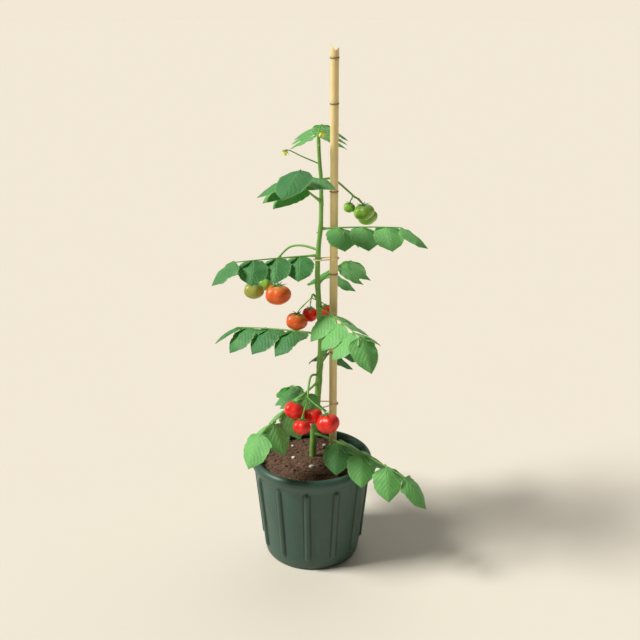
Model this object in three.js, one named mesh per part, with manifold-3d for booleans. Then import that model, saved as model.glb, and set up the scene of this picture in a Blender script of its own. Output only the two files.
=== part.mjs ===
// A tomato plant in a ribbed plastic pot, tied to a bamboo cane.
//
// Millimetres, +Z up. The origin is the centre of the pot's flat base.
// The plant is seen with -Y towards the viewer and +X to the right.

import * as THREE from 'three';
import { mergeVertices } from 'three/addons/utils/BufferGeometryUtils.js';
import Module from 'manifold-3d';

const wasm = await Module();
wasm.setup();

// ---------------------------------------------------------------- driving dimensions

const CLEARANCE = 0.3;          // gap between pieces that rest against each other
const WELD = 1e-3;              // corners nearer than this are one corner

// Pot: a round tapered tub with a rolled lip and upright ribs
const POT_HEIGHT = 262;
const POT_RIM_RADIUS = 150;
const POT_LIP_RADIUS = 10;      // half the radial width of the rolled lip
const POT_LIP_DROP = 34;        // height of the lip band
const POT_NECK_RADIUS = 140.5;  // outside of the wall just under the lip
const POT_FOOT_RADIUS = 120;    // outside of the wall just above the base's rounding
const POT_BASE_RADIUS = 108;    // flat underside
const POT_WALL = 4;
const POT_SIDES = 48;
const RIB_COUNT = 12;
const RIB_TURN = -94.5;         // angle of the first rib
const RIB_RADIUS = 7.5;
const RIB_SUNK = 2;             // how far the rib's centre line lies inside the wall's face
const RIB_BOTTOM = 30;
const RIB_TOP = 224;
const DRAIN_COUNT = 5;
const DRAIN_RADIUS = 6;
const DRAIN_CIRCLE = 72;

// Soil
const SOIL_EDGE_HEIGHT = 237;
const SOIL_CROWN = 9;           // rise from the edge to the stem
const SOIL_SIDES = 24;
const GRAIN_SIZE = 5;           // radius of the white perlite grains
const CLOD_COUNT = 4;

// Cane
const CANE_X = 53;
const CANE_Y = 32;
const CANE_RADIUS = 9.6;
const CANE_FOOT = 30;
const CANE_TOP = 1236;
const CANE_BORE = 5.5;
const CANE_NODE_HEIGHTS = [325, 522, 719, 915, 1111, 1209];
const CANE_SIDES = 12;

// Main stem: centre line points and radii, from the root end to the tip
const STEM_FOOT = 150;
const STEM_PATH = [
  [2, 20, STEM_FOOT], [2.5, 20, 245], [7, 20, 330], [14, 20, 398], [19, 20, 470], [23, 20, 550],
  [18, 20, 650], [15, 20, 715], [17, 20, 780], [22.5, 20, 840], [23.5, 20, 900], [23, 20, 945],
  [19.5, 20, 990], [17, 20, 1043],
];
const STEM_RADIUS_FOOT = 9.5;
const STEM_RADIUS_TIP = 3.8;
const STEM_SIDES = 8;
const STEM_STEPS = 30;

// Leaflets
const BLADE_THICKNESS = 1;
const STALK_HALF_WIDTH = 1.3;
const STALK_SINK = 0.5;         // where a leaflet starts, off the leaf stalk's centre line
// Outline of half a leaflet: distance along the midrib and half width, as shares
const BLADE_OUTLINE = [[0.22, 0.95], [0.36, 0.88], [0.68, 0.84]];
const BLADE_FOLD = 14;          // degrees that each half falls away from the midrib
const BLADE_CURL = 34;          // degrees that the midrib bends down from base to tip
const RACHIS_SIDES = 4;
const RACHIS_STEPS = 6;

// The leaves, from the bottom up. height: where the leaf stalk leaves the stem. length: of the
// stalk, along its curve. turn: its compass angle at the stem and at its end. lift: its slope at
// the stem and at its end. first, gap: where the leaflet pairs sit along it. leaflet: length and
// width. hang: how steeply the leaflets of the left and right side fall. sweep: how far they lean
// towards the leaf's end. tip: how steeply the end leaflet falls, tipTurn: how far it is turned
// aside. root: width where the left and right leaflets meet the leaf stalk, as shares of their full
// width, where they have no narrow foot. bent: pairs that hang, lean or start their own way. All
// angles are in degrees.
const LEAVES = [
  { name: 'leaf_01', height: 309, length: 281, turn: [-50, -29], lift: [8, -20],
    first: 87, gap: 72, leaflet: [84, 68], hang: [32, 46], sweep: 38, tip: 49 },
  { name: 'leaf_02', height: 374, length: 218, turn: [109, 108], lift: [8, -22],
    first: 63, gap: 61, leaflet: [79, 72], hang: [40, 45], sweep: 21, tip: 48 },
  { name: 'leaf_03', height: 449, length: 220, turn: [228, 234], lift: [-18, -15],
    first: 54, gap: 62, leaflet: [80, 70], hang: [55, 42], sweep: 9, tip: 55 },
  { name: 'leaf_04', height: 491, length: 208, turn: [70, 70], lift: [10, -10],
    first: 64, gap: 55, leaflet: [77, 64], hang: [35, 37], sweep: 20, tip: 50 },
  { name: 'leaf_05', height: 571, length: 226, turn: [159, 157], lift: [1, -7],
    first: 69, gap: 62, leaflet: [81, 72], hang: [40, 42], sweep: 28, tip: 39,
    root: [0.75, 0.75] },
  { name: 'leaf_06', height: 643, length: 176, turn: [-56, -61], lift: [-7, -9],
    first: 58, gap: 50, leaflet: [82, 66], hang: [32, 42], sweep: 0, tip: 52 },
  { name: 'leaf_07', height: 695, length: 215, turn: [66, 67], lift: [12, -9],
    first: 64, gap: 56, leaflet: [80, 64], hang: [35, 34], sweep: 18, tip: 50 },
  { name: 'leaf_08', height: 767, length: 198, turn: [197, 199], lift: [1, -1],
    first: 44, gap: 55, leaflet: [71, 68], hang: [41, 45], sweep: 21, tip: 41,
    root: [0.75, 0.75] },
  { name: 'leaf_09', height: 830, length: 187, turn: [-7, -11], lift: [6, 0],
    first: 43, gap: 55, leaflet: [73, 68], hang: [60, 37], sweep: 21, tip: 36,
    root: [0.8, 0.8], bent: { 0: { hang: [50, 37], sweep: [66, 21], root: [0, 0.8] } } },
  { name: 'leaf_10', height: 894, length: 222, turn: [228, 285], lift: [32, 23.5],
    first: 84, gap: 43, leaflet: [99, 70], hang: [19, 40], sweep: 40, tip: 25, tipTurn: -35,
    root: [0.6, 0.6], bent: { 0: { hang: [8, 46], sweep: [39, 64] },
      2: { hang: [26, 31], sweep: [37, 13] } } },
  { name: 'leaf_11', height: 1029, length: 142, turn: [93, 81], lift: [13, 5],
    first: 46, gap: 38, leaflet: [75, 52], hang: [29, 29], sweep: 8, tip: 35 },
];

// The trusses, from the bottom up. path: the main stalk from the stem's centre line. fruits: each
// fruit's centre, greatest radius, half height and colour.
const TRUSSES = [
  { name: 'truss_1', path: [[17, 20, 466], [0, -10, 475], [-7, -50, 458], [-8, -74, 436]],
    fruits: [
      { at: [-40, -92, 423], radius: 24, rise: 20, colour: 'ripe' },
      { at: [-22, -126, 396], radius: 21, rise: 18, colour: 'ripe' },
      { at: [4, -80, 403], radius: 22, rise: 19, colour: 'ripe' },
      { at: [39, -112, 398], radius: 27, rise: 23, colour: 'ripe' },
    ] },
  { name: 'truss_2', path: [[17, 20, 655], [5, 42, 664], [-1, 66, 646]],
    fruits: [
      { at: [-37, 62, 589], radius: 26, rise: 21, colour: 'turning' },
      { at: [-4, 98, 595], radius: 20, rise: 18, colour: 'ripe' },
      { at: [36, 92, 604], radius: 19, rise: 17, colour: 'ripe' },
    ] },
  { name: 'truss_3', path: [[17, 20, 780], [-20, 38, 786], [-50, 56, 778], [-79, 72, 748]],
    fruits: [
      { at: [-141, 78, 663], radius: 24, rise: 20, colour: 'pale' },
      { at: [-115, 124, 667], radius: 19, rise: 17, colour: 'green' },
      { at: [-82, 78, 653], radius: 31, rise: 25, colour: 'turning' },
    ] },
  { name: 'truss_4', path: [[23, 20, 944], [50, 52, 940], [86, 76, 908], [104, 84, 890]],
    fruits: [
      { at: [89.7, 96, 864], radius: 14, rise: 12, colour: 'green' },
      { at: [124, 82, 856], radius: 25, rise: 19, colour: 'green' },
      { at: [135, 126, 835], radius: 24, rise: 19, colour: 'green' },
    ] },
];
const FRUIT_SIDES = 10;
const FRUIT_RINGS = 6;
const FRUIT_LOBES = 5;
const FRUIT_LOBE_DEPTH = 0.05;
const FRUIT_DIMPLE = 3;
const TRUSS_RADIUS = 2.4;
const PEDICEL_RADIUS = 1.6;
const SEPALS = 5;
const CALYX_LIFT = [0.9, 0.09]; // middle of the sepals above the skin, and more by the rise

// The flowers: where the stalk leaves the stem and its path, ending at the flower's crown
const FLOWERS = [
  { name: 'left', path: [[19.5, 20, 980], [-20, 12, 998], [-50, 6, 1013], [-57, 5, 1013]] },
  { name: 'top', path: [[17, 20, 1036], [20, 11, 1051], [24, 5, 1056], [26, 3, 1054]] },
];
const PETALS = 5;
const PETAL_RADIUS = 9;
const PETAL_FALL = 10;

// The ties: each is one loop of twine round both the stem and the cane. stemRound, caneRound: how
// far its centre line stays from the middle of the stem and of the cane.
const TIES = [
  { height: 384, stemRound: 24, caneRound: 12.2 },
  { height: 757, stemRound: 9.6, caneRound: 11.85 },
];
const TIE_RADIUS = 1.8;
const TIE_SIDES = 4;
const TIE_STEPS = 26;

const COLOURS = {
  plastic: new THREE.MeshStandardMaterial({ color: 0x22392b, roughness: 0.45, metalness: 0 }),
  soil: new THREE.MeshStandardMaterial({ color: 0x4a3527, roughness: 0.95, metalness: 0 }),
  bamboo: new THREE.MeshStandardMaterial({ color: 0xd2a75c, roughness: 0.5, metalness: 0 }),
  stem: new THREE.MeshStandardMaterial({ color: 0x4f8a2c, roughness: 0.6, metalness: 0 }),
  leaf: new THREE.MeshStandardMaterial({ color: 0x3f8f36, roughness: 0.6, metalness: 0 }),
  ripe: new THREE.MeshStandardMaterial({ color: 0xd81f1a, roughness: 0.25, metalness: 0 }),
  turning: new THREE.MeshStandardMaterial({ color: 0xe4602a, roughness: 0.28, metalness: 0 }),
  pale: new THREE.MeshStandardMaterial({ color: 0x9a9a2c, roughness: 0.3, metalness: 0 }),
  green: new THREE.MeshStandardMaterial({ color: 0x6fa544, roughness: 0.3, metalness: 0 }),
  petal: new THREE.MeshStandardMaterial({ color: 0xf2d32c, roughness: 0.55, metalness: 0 }),
  twine: new THREE.MeshStandardMaterial({ color: 0xc7a468, roughness: 0.9, metalness: 0 }),
};

// ---------------------------------------------------------------- shared shapes

const radians = THREE.MathUtils.degToRad;
const vector = ([x, y, z]) => new THREE.Vector3(x, y, z);
const UP = new THREE.Vector3(0, 0, 1);

// Repeatable draws between 0 and 1
function makeDraw(seed) {
  let state = seed;
  return () => {
    state = (state * 16807) % 2147483647;
    return state / 2147483647;
  };
}

function signedVolume(geometry) {
  const spot = geometry.attributes.position;
  const [a, b, c] = [new THREE.Vector3(), new THREE.Vector3(), new THREE.Vector3()];
  let sum = 0;
  for (let i = 0; i < geometry.index.count; i += 3) {
    a.fromBufferAttribute(spot, geometry.index.getX(i));
    b.fromBufferAttribute(spot, geometry.index.getX(i + 1));
    c.fromBufferAttribute(spot, geometry.index.getX(i + 2));
    sum += a.dot(b.cross(c));
  }
  return sum / 6;
}

// A closed geometry as a solid that can be joined and cut
function toSolid(geometry) {
  const bare = geometry.clone();
  bare.deleteAttribute('normal');
  bare.deleteAttribute('uv');
  const welded = mergeVertices(bare, WELD);
  const corners = Uint32Array.from(welded.index.array);
  if (signedVolume(welded) < 0) {
    corners.reverse();
  }
  const vertProperties = Float32Array.from(welded.attributes.position.array);
  return new wasm.Manifold(new wasm.Mesh({ numProp: 3, vertProperties, triVerts: corners }));
}

function toGeometry(solid) {
  const mesh = solid.getMesh();
  const geometry = new THREE.BufferGeometry();
  geometry.setAttribute('position', new THREE.BufferAttribute(mesh.vertProperties, 3));
  geometry.setIndex(new THREE.BufferAttribute(mesh.triVerts, 1));
  return geometry;
}

// A turned solid from a profile of [radius, height] points
function turned(profile, sides) {
  const points = profile.map(([radius, height]) => new THREE.Vector2(radius, height));
  const geometry = new THREE.LatheGeometry(points, sides);
  geometry.rotateX(Math.PI / 2);
  return toSolid(geometry);
}

// A closed tube along a curve, whose radius follows radiusAt(share of the length)
function tube(curve, radiusAt, sides, steps) {
  const frames = curve.computeFrenetFrames(steps, false);
  const positions = [];
  const corners = [];
  for (let i = 0; i <= steps; i += 1) {
    const centre = curve.getPointAt(i / steps);
    for (let j = 0; j < sides; j += 1) {
      const angle = (2 * Math.PI * j) / sides;
      const spot = centre.clone()
        .addScaledVector(frames.normals[i], radiusAt(i / steps) * Math.cos(angle))
        .addScaledVector(frames.binormals[i], radiusAt(i / steps) * Math.sin(angle));
      positions.push(...spot.toArray());
    }
  }
  for (let i = 0; i < steps; i += 1) {
    for (let j = 0; j < sides; j += 1) {
      const a = i * sides + j;
      const b = i * sides + ((j + 1) % sides);
      corners.push(a, b, a + sides, b, b + sides, a + sides);
    }
  }
  for (const [share, ring] of [[0, 0], [1, steps]]) {
    const hub = positions.length / 3;
    positions.push(...curve.getPointAt(share).toArray());
    for (let j = 0; j < sides; j += 1) {
      const a = ring * sides + j;
      const b = ring * sides + ((j + 1) % sides);
      corners.push(...(share === 0 ? [hub, b, a] : [hub, a, b]));
    }
  }
  const geometry = new THREE.BufferGeometry();
  geometry.setAttribute('position', new THREE.Float32BufferAttribute(positions, 3));
  geometry.setIndex(corners);
  return toSolid(geometry);
}

// A thin star. shape(kind, side) gives the radius and height of its hub, notches and points, on
// its upper side, 0.5, and its lower side, -0.5
function star(points, shape) {
  const geometry = new THREE.CylinderGeometry(1, 1, 1, 2 * points, 1);
  geometry.rotateX(Math.PI / 2);
  geometry.rotateZ(Math.PI / 2);
  const spot = geometry.attributes.position;
  for (let i = 0; i < spot.count; i += 1) {
    const [x, y, side] = [spot.getX(i), spot.getY(i), spot.getZ(i)];
    const turn = Math.atan2(y, x);
    const even = Math.round((turn * points) / Math.PI) % 2 === 0;
    const kind = Math.hypot(x, y) < 0.5 ? 'hub' : (even ? 'point' : 'notch');
    const [radius, height] = shape(kind, side);
    spot.setXYZ(i, radius * Math.cos(turn), radius * Math.sin(turn), height);
  }
  return geometry;
}

function smoothCurve(points) {
  return new THREE.CatmullRomCurve3(points.map(vector), false, 'centripetal');
}

// ---------------------------------------------------------------- pot

function wallRadius(height) {
  const share = (height - 20) / (POT_HEIGHT - POT_LIP_DROP - 20);
  return THREE.MathUtils.lerp(POT_FOOT_RADIUS, POT_NECK_RADIUS, share);
}

// The space inside the pot, drawn in by a margin all round
function cavity(margin, top) {
  const lipInside = POT_RIM_RADIUS - 2 * POT_LIP_RADIUS;
  const lipStart = SOIL_EDGE_HEIGHT + 3;
  const inside = (height) => wallRadius(height) - POT_WALL - margin;
  const profile = [[0, POT_WALL + margin], [POT_BASE_RADIUS - 3, POT_WALL + margin],
    [inside(16), 16]];
  if (top < POT_HEIGHT) {
    profile.push([inside(top), top]);
  } else {
    profile.push([inside(lipStart), lipStart], [lipInside + 1, lipStart + 4], [lipInside, 250],
      [lipInside + 2.6, 257.5], [lipInside + POT_LIP_RADIUS, POT_HEIGHT],
      [lipInside + POT_LIP_RADIUS, top]);
  }
  profile.push([0, top]);
  return profile;
}

function ribSolid(angle) {
  const [low, high] = [RIB_BOTTOM, RIB_TOP].map((height) => new THREE.Vector3(
    wallRadius(height) - RIB_SUNK, 0, height,
  ));
  const run = high.clone().sub(low);
  const rib = new THREE.CapsuleGeometry(RIB_RADIUS, run.length() - 2 * RIB_RADIUS, 2, 8);
  rib.applyQuaternion(new THREE.Quaternion().setFromUnitVectors(
    new THREE.Vector3(0, 1, 0), run.clone().normalize(),
  ));
  rib.translate(...low.add(high).multiplyScalar(0.5));
  rib.rotateZ(radians(angle));
  return toSolid(rib);
}

function makePot() {
  const lipFoot = POT_HEIGHT - POT_LIP_DROP;
  const top = POT_HEIGHT - POT_LIP_RADIUS;
  let pot = turned([
    [0, 0], [POT_BASE_RADIUS, 0], [POT_BASE_RADIUS + 7, 3], [POT_FOOT_RADIUS - 2, 10],
    [POT_FOOT_RADIUS, 20], [POT_NECK_RADIUS, lipFoot], [POT_RIM_RADIUS - 5, lipFoot + 7],
    [POT_RIM_RADIUS - 1, lipFoot + 14], [POT_RIM_RADIUS, top - 2], [POT_RIM_RADIUS - 2.6, top + 5.5],
    [POT_RIM_RADIUS - POT_LIP_RADIUS, POT_HEIGHT], [0, POT_HEIGHT],
  ], POT_SIDES);
  for (let i = 0; i < RIB_COUNT; i += 1) {
    pot = pot.add(ribSolid(RIB_TURN + (i * 360) / RIB_COUNT));
  }
  pot = pot.subtract(turned(cavity(0, POT_HEIGHT + 5), POT_SIDES));
  for (let i = 0; i < DRAIN_COUNT; i += 1) {
    const hole = new THREE.CylinderGeometry(DRAIN_RADIUS, DRAIN_RADIUS, 4 * POT_WALL, 8);
    hole.rotateX(Math.PI / 2);
    const turn = (2 * Math.PI * i) / DRAIN_COUNT;
    hole.translate(DRAIN_CIRCLE * Math.cos(turn), DRAIN_CIRCLE * Math.sin(turn), 0);
    pot = pot.subtract(toSolid(hole));
  }
  return pot;
}

// ---------------------------------------------------------------- cane

// Radius of the cane at a height: a little ridge at each node, with a groove under it
function caneProfile() {
  const profile = [[0, CANE_FOOT], [CANE_RADIUS, CANE_FOOT]];
  for (const node of CANE_NODE_HEIGHTS) {
    profile.push([CANE_RADIUS, node - 5], [CANE_RADIUS - 0.5, node - 2.5],
      [CANE_RADIUS + 1, node], [CANE_RADIUS, node + 5]);
  }
  profile.push([CANE_RADIUS, CANE_TOP], [0, CANE_TOP]);
  return profile;
}

function makeCane() {
  let cane = turned(caneProfile(), CANE_SIDES);
  const lastNode = CANE_NODE_HEIGHTS.at(-1);
  cane = cane.subtract(turned([[0, lastNode + 5], [CANE_BORE, lastNode + 5],
    [CANE_BORE, CANE_TOP + 5], [0, CANE_TOP + 5]], CANE_SIDES));
  // The top was snapped, which left it notched
  const notch = new THREE.Shape([[-11, 2], [2.2, -12], [11, -3], [11, 20], [-11, 20]]
    .map(([x, z]) => new THREE.Vector2(x, z)));
  const wedge = new THREE.ExtrudeGeometry(notch, { depth: 40, bevelEnabled: false });
  wedge.rotateX(Math.PI / 2);
  wedge.translate(0, 20, CANE_TOP);
  return cane.subtract(toSolid(wedge)).translate([CANE_X, CANE_Y, 0]);
}

// ---------------------------------------------------------------- stem

const STEM_CURVE = smoothCurve(STEM_PATH);
const NODE_HEIGHTS = LEAVES.map((leaf) => leaf.height);

// The stem's centre at a height above the base
function stemCentre(height) {
  const points = STEM_CURVE.getSpacedPoints(400);
  const above = points.findIndex((spot) => spot.z >= height);
  const [low, high] = [points[above - 1], points[above]];
  return low.clone().lerp(high, (height - low.z) / (high.z - low.z));
}

function stemSolid(grow) {
  const [foot, tip] = [STEM_PATH[0], STEM_PATH.at(-1)];
  const curve = smoothCurve([
    [foot[0], foot[1], foot[2] - grow], ...STEM_PATH.slice(1, -1), [tip[0], tip[1], tip[2] + grow],
  ]);
  const radiusAt = (share) => {
    const height = curve.getPointAt(share).z;
    const swell = NODE_HEIGHTS.reduce((most, node) => Math.max(
      most, Math.exp(-(((height - node) / 9) ** 2)),
    ), 0);
    const slim = THREE.MathUtils.lerp(STEM_RADIUS_FOOT, STEM_RADIUS_TIP, share ** 1.1);
    return slim * (1 + 0.12 * swell) + grow;
  };
  return tube(curve, radiusAt, STEM_SIDES, STEM_STEPS);
}

// ---------------------------------------------------------------- soil

function makeSoil(stem, cane) {
  const geometry = new THREE.LatheGeometry([
    ...cavity(2 * CLEARANCE, SOIL_EDGE_HEIGHT).slice(0, -1),
    ...[0.8, 0.55, 0.3, 0].map((share) => [
      share * wallRadius(SOIL_EDGE_HEIGHT), SOIL_EDGE_HEIGHT + SOIL_CROWN * (1 - share),
    ]),
  ].map(([radius, height]) => new THREE.Vector2(radius, height)), SOIL_SIDES);
  geometry.rotateX(Math.PI / 2);
  const spot = geometry.attributes.position;
  const edge = wallRadius(SOIL_EDGE_HEIGHT) * 0.9;
  for (let i = 0; i < spot.count; i += 1) {
    const [x, y, z] = [spot.getX(i), spot.getY(i), spot.getZ(i)];
    if (z > SOIL_EDGE_HEIGHT && Math.hypot(x, y) < edge) {
      const bump = Math.sin(x * 0.13 + 1) * Math.cos(y * 0.11) + 0.6 * Math.sin(x * 0.31 - y * 0.27);
      spot.setZ(i, z + 1.2 * bump);
    }
  }
  let soil = toSolid(geometry);
  const draw = makeDraw(41);
  const lumps = [[-46, 9, GRAIN_SIZE], [0, -36, GRAIN_SIZE + 2], [32, 83, GRAIN_SIZE],
    [-50, 85, GRAIN_SIZE - 1]];
  for (let i = 0; i < CLOD_COUNT; i += 1) {
    const reach = 118 * Math.sqrt(draw());
    const turn = 2 * Math.PI * draw();
    lumps.push([reach * Math.cos(turn), reach * Math.sin(turn), 4 + 4 * draw()]);
  }
  for (const [x, y, size] of lumps) {
    const lump = new THREE.IcosahedronGeometry(size, 0);
    lump.scale(1, 0.9, 0.6);
    lump.rotateZ(2 * Math.PI * draw());
    const share = Math.hypot(x, y) / wallRadius(SOIL_EDGE_HEIGHT);
    lump.translate(x, y, SOIL_EDGE_HEIGHT + SOIL_CROWN * (1 - share) + 0.2 * size);
    soil = soil.add(toSolid(lump));
  }
  return soil.subtract(stem).subtract(cane);
}

// ---------------------------------------------------------------- leaves

function direction(compass, slope) {
  const flat = Math.cos(radians(slope));
  return new THREE.Vector3(
    flat * Math.cos(radians(compass)), flat * Math.sin(radians(compass)), Math.sin(radians(slope)),
  );
}

// The leaf stalk's centre line, bending evenly from its first direction to its last
function rachisCurve({ height, length, turn, lift }) {
  const spot = stemCentre(height);
  const points = [spot.clone()];
  const count = 12;
  for (let i = 0; i < count; i += 1) {
    const share = (i + 0.5) / count;
    const compass = THREE.MathUtils.lerp(...turn, share);
    const slope = THREE.MathUtils.lerp(...lift, share);
    spot.addScaledVector(direction(compass, slope), length / count);
    points.push(spot.clone());
  }
  return new THREE.CatmullRomCurve3(points, false, 'centripetal');
}

// One leaflet: a thin blade, folded on its midrib and curling down. It grows from base along the
// compass angle, falls at the angle hang, and starts narrow unless root gives it a wide foot.
function leafletSolid(base, compass, hang, length, width, root) {
  const across = direction(compass + 90, 0);
  const start = root ? [0, (root * width) / 2, BLADE_THICKNESS] : [0, STALK_HALF_WIDTH, 2.4];
  const stations = [start, ...BLADE_OUTLINE.map(([share, half]) => [
    share, (half * width) / 2, BLADE_THICKNESS,
  ]), [1, 0, BLADE_THICKNESS]];
  const positions = [];
  const centre = base.clone();
  let reached = 0;
  const fall = Math.tan(radians(BLADE_FOLD));
  for (const [share, half, thickness] of stations) {
    const middle = (reached + share) / 2;
    centre.addScaledVector(
      direction(compass, -hang - BLADE_CURL * (middle - 0.5)), (share - reached) * length,
    );
    reached = share;
    const normal = direction(compass, 90 - hang - BLADE_CURL * (share - 0.5));
    const row = half === 0 ? [0] : [half, 0, -half];
    for (const face of [thickness / 2, -thickness / 2]) {
      for (const side of row) {
        positions.push(...centre.clone().addScaledVector(across, side)
          .addScaledVector(normal, face - Math.abs(side) * fall).toArray());
      }
    }
  }
  const corners = [];
  const last = stations.length - 1;
  const quad = (a, b, c, d) => corners.push(a, b, c, a, c, d);
  for (let i = 0; i < last - 1; i += 1) {
    const [near, far] = [6 * i, 6 * (i + 1)];
    for (const j of [0, 1]) {
      quad(near + j, near + j + 1, far + j + 1, far + j);
      quad(near + 3 + j, far + 3 + j, far + 4 + j, near + 4 + j);
    }
    quad(near, far, far + 3, near + 3);
    quad(near + 2, near + 5, far + 5, far + 2);
  }
  const [near, tip] = [6 * (last - 1), 6 * last];
  for (const j of [0, 1]) {
    corners.push(near + j, near + j + 1, tip);
    corners.push(near + 3 + j, tip + 1, near + 4 + j);
    quad(j, 3 + j, 4 + j, j + 1);
  }
  quad(near, tip, tip + 1, near + 3);
  quad(near + 2, near + 5, tip + 1, tip);
  const geometry = new THREE.BufferGeometry();
  geometry.setAttribute('position', new THREE.Float32BufferAttribute(positions, 3));
  geometry.setIndex(corners);
  return toSolid(geometry);
}

function makeLeaf(leaf, stemSpace) {
  const { length, turn, lift, first, gap, leaflet, hang, sweep, tip, bent } = leaf;
  const { tipTurn = 0, root = [0, 0] } = leaf;
  const rachis = rachisCurve(leaf);
  const thick = length / 70;
  const radiusAt = (share) => THREE.MathUtils.lerp(thick, 1.3, share ** 0.8)
    + 1.6 * Math.exp(-(((share * length) / 12) ** 2));
  let solid = tube(rachis, radiusAt, RACHIS_SIDES, RACHIS_STEPS);
  for (let pair = 0; pair < 3; pair += 1) {
    const share = (first + pair * gap) / length;
    const base = rachis.getPointAt(share);
    const compass = THREE.MathUtils.lerp(...turn, share);
    const slope = THREE.MathUtils.lerp(...lift, share);
    for (const side of [0, 1]) {
      const sign = side === 0 ? 1 : -1;
      const own = { hang, sweep: [sweep, sweep], root, ...bent?.[pair] };
      const start = base.clone().addScaledVector(direction(compass + 90, 0), sign * STALK_SINK);
      const fall = own.hang[side] - slope * Math.sin(radians(own.sweep[side]));
      solid = solid.add(leafletSolid(
        start, compass + sign * (90 - own.sweep[side]), fall, ...leaflet, own.root[side],
      ));
    }
  }
  const end = rachis.getPointAt(0.99);
  solid = solid.add(leafletSolid(
    end, turn[1] + tipTurn, tip, leaflet[0] * 1.1, leaflet[1] * 1.05, root[0],
  ));
  return solid.subtract(stemSpace);
}

// ---------------------------------------------------------------- fruit and trusses

// Height of the fruit's skin above its middle, at a share of its radius: there is a dimple on top
function skinHeight({ rise }, share) {
  return rise * Math.sqrt(1 - share * share) - FRUIT_DIMPLE * Math.exp(-((share / 0.35) ** 2));
}

// A ribbed, slightly flattened fruit with its stalk end up
function fruitGeometry(fruit) {
  const geometry = new THREE.SphereGeometry(1, FRUIT_SIDES, FRUIT_RINGS);
  geometry.rotateX(Math.PI / 2);
  const spot = geometry.attributes.position;
  for (let i = 0; i < spot.count; i += 1) {
    const [x, y, z] = [spot.getX(i), spot.getY(i), spot.getZ(i)];
    const out = Math.min(Math.hypot(x, y), 1);
    const lobe = FRUIT_LOBE_DEPTH * Math.cos(FRUIT_LOBES * Math.atan2(y, x)) * out;
    const wide = fruit.radius * (1 + lobe);
    spot.setXYZ(i, x * wide, y * wide, z > 0 ? skinHeight(fruit, out) : z * fruit.rise);
  }
  return geometry;
}

// The way from a fruit's centre to where its stalk comes from, kept close to upright
function fruitTurn(fruit, from) {
  const lean = from.clone().sub(vector(fruit.at)).normalize().lerp(UP, 0.7).normalize();
  return new THREE.Quaternion().setFromUnitVectors(UP, lean);
}

function placeFruit(fruit, from) {
  const geometry = fruitGeometry(fruit);
  geometry.applyQuaternion(fruitTurn(fruit, from));
  geometry.translate(...fruit.at);
  return toSolid(geometry);
}

function calyxHeight(fruit, share) {
  return skinHeight(fruit, share) + CALYX_LIFT[0] + CALYX_LIFT[1] * fruit.rise;
}

// The calyx: a thin star of sepals that rests over the fruit's shoulders
function calyxSolid(fruit, from) {
  const crown = calyxHeight(fruit, 0.36);
  const geometry = star(SEPALS, (kind, side) => [
    fruit.radius * { hub: 0, notch: 0.2, point: 0.66 }[kind],
    (kind === 'point' ? calyxHeight(fruit, 0.66) - 0.3 : crown) + side,
  ]);
  geometry.applyQuaternion(fruitTurn(fruit, from));
  geometry.translate(...fruit.at);
  return toSolid(geometry);
}

function makeTruss(truss, stemSpace) {
  const curve = smoothCurve(truss.path);
  const end = curve.getPointAt(1);
  let solid = tube(curve, (share) => TRUSS_RADIUS * (1.25 - 0.35 * share), 5, 8);
  for (const fruit of truss.fruits) {
    const crown = calyxHeight(fruit, 0.36);
    const [seat, above] = [crown, crown + 10].map((height) => (
      new THREE.Vector3(0, 0, height).applyQuaternion(fruitTurn(fruit, end)).add(vector(fruit.at))
    ));
    const pedicel = new THREE.CubicBezierCurve3(
      curve.getPointAt(0.9), end.clone().lerp(above, 0.35), above, seat,
    );
    solid = solid.add(tube(pedicel, () => PEDICEL_RADIUS, 4, 5)).add(calyxSolid(fruit, end));
  }
  return solid.subtract(stemSpace);
}

// ---------------------------------------------------------------- flowers

function starSolid(at, points, outer, inner, fall, thickness) {
  const shares = { hub: 0, notch: inner / outer, point: 1 };
  const geometry = star(points, (kind, side) => [
    shares[kind] * outer, side * thickness - fall * shares[kind],
  ]);
  geometry.translate(...at);
  return toSolid(geometry);
}

function makeFlowerStalk(flower, stemSpace) {
  const curve = smoothCurve(flower.path);
  const crown = flower.path.at(-1);
  const stalk = tube(curve, (share) => 1.7 - 0.5 * share, 4, 8);
  return stalk.add(starSolid(crown, PETALS, 7.5, 2.4, 3, 1)).subtract(stemSpace);
}

function makePetals(flower) {
  const [x, y, z] = flower.path.at(-1);
  const petals = starSolid([x, y, z - 2.2], PETALS, PETAL_RADIUS, PETAL_RADIUS * 0.55, PETAL_FALL, 1.2);
  const cone = new THREE.ConeGeometry(2.6, 10, 6);
  cone.rotateX(-Math.PI / 2);
  cone.translate(x, y, z - 7.5);
  return petals.add(toSolid(cone));
}

// ---------------------------------------------------------------- ties

// From its knot behind the cane, the twine passes behind the stem, round its left side and in front
// of both, and round the cane's right side back to the knot
function makeTie({ height, stemRound, caneRound }) {
  const stem = stemCentre(height);
  const points = [[CANE_X + 9, CANE_Y + caneRound + 7, height - 9]];
  const turn = (x, y, reach, angles) => angles.forEach((angle) => points.push([
    x + reach * Math.cos(radians(angle)), y + reach * Math.sin(radians(angle)), height,
  ]));
  turn(CANE_X, CANE_Y, caneRound, [80, 100]);
  turn(stem.x, stem.y, stemRound, [110, 140, 170, 200, 230, 260]);
  turn(CANE_X, CANE_Y, caneRound, [-110, -75, -40, -5, 30, 65]);
  points.push([CANE_X - 4, CANE_Y + caneRound + 8, height - 8]);
  const twine = tube(smoothCurve(points), () => TIE_RADIUS, TIE_SIDES, TIE_STEPS);
  const knot = new THREE.SphereGeometry(2 * TIE_RADIUS, 8, 5);
  knot.translate(CANE_X + 3, CANE_Y + caneRound + 1, height - 1);
  return twine.add(toSolid(knot));
}

// ---------------------------------------------------------------- the whole plant

const plant = new THREE.Group();

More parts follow.
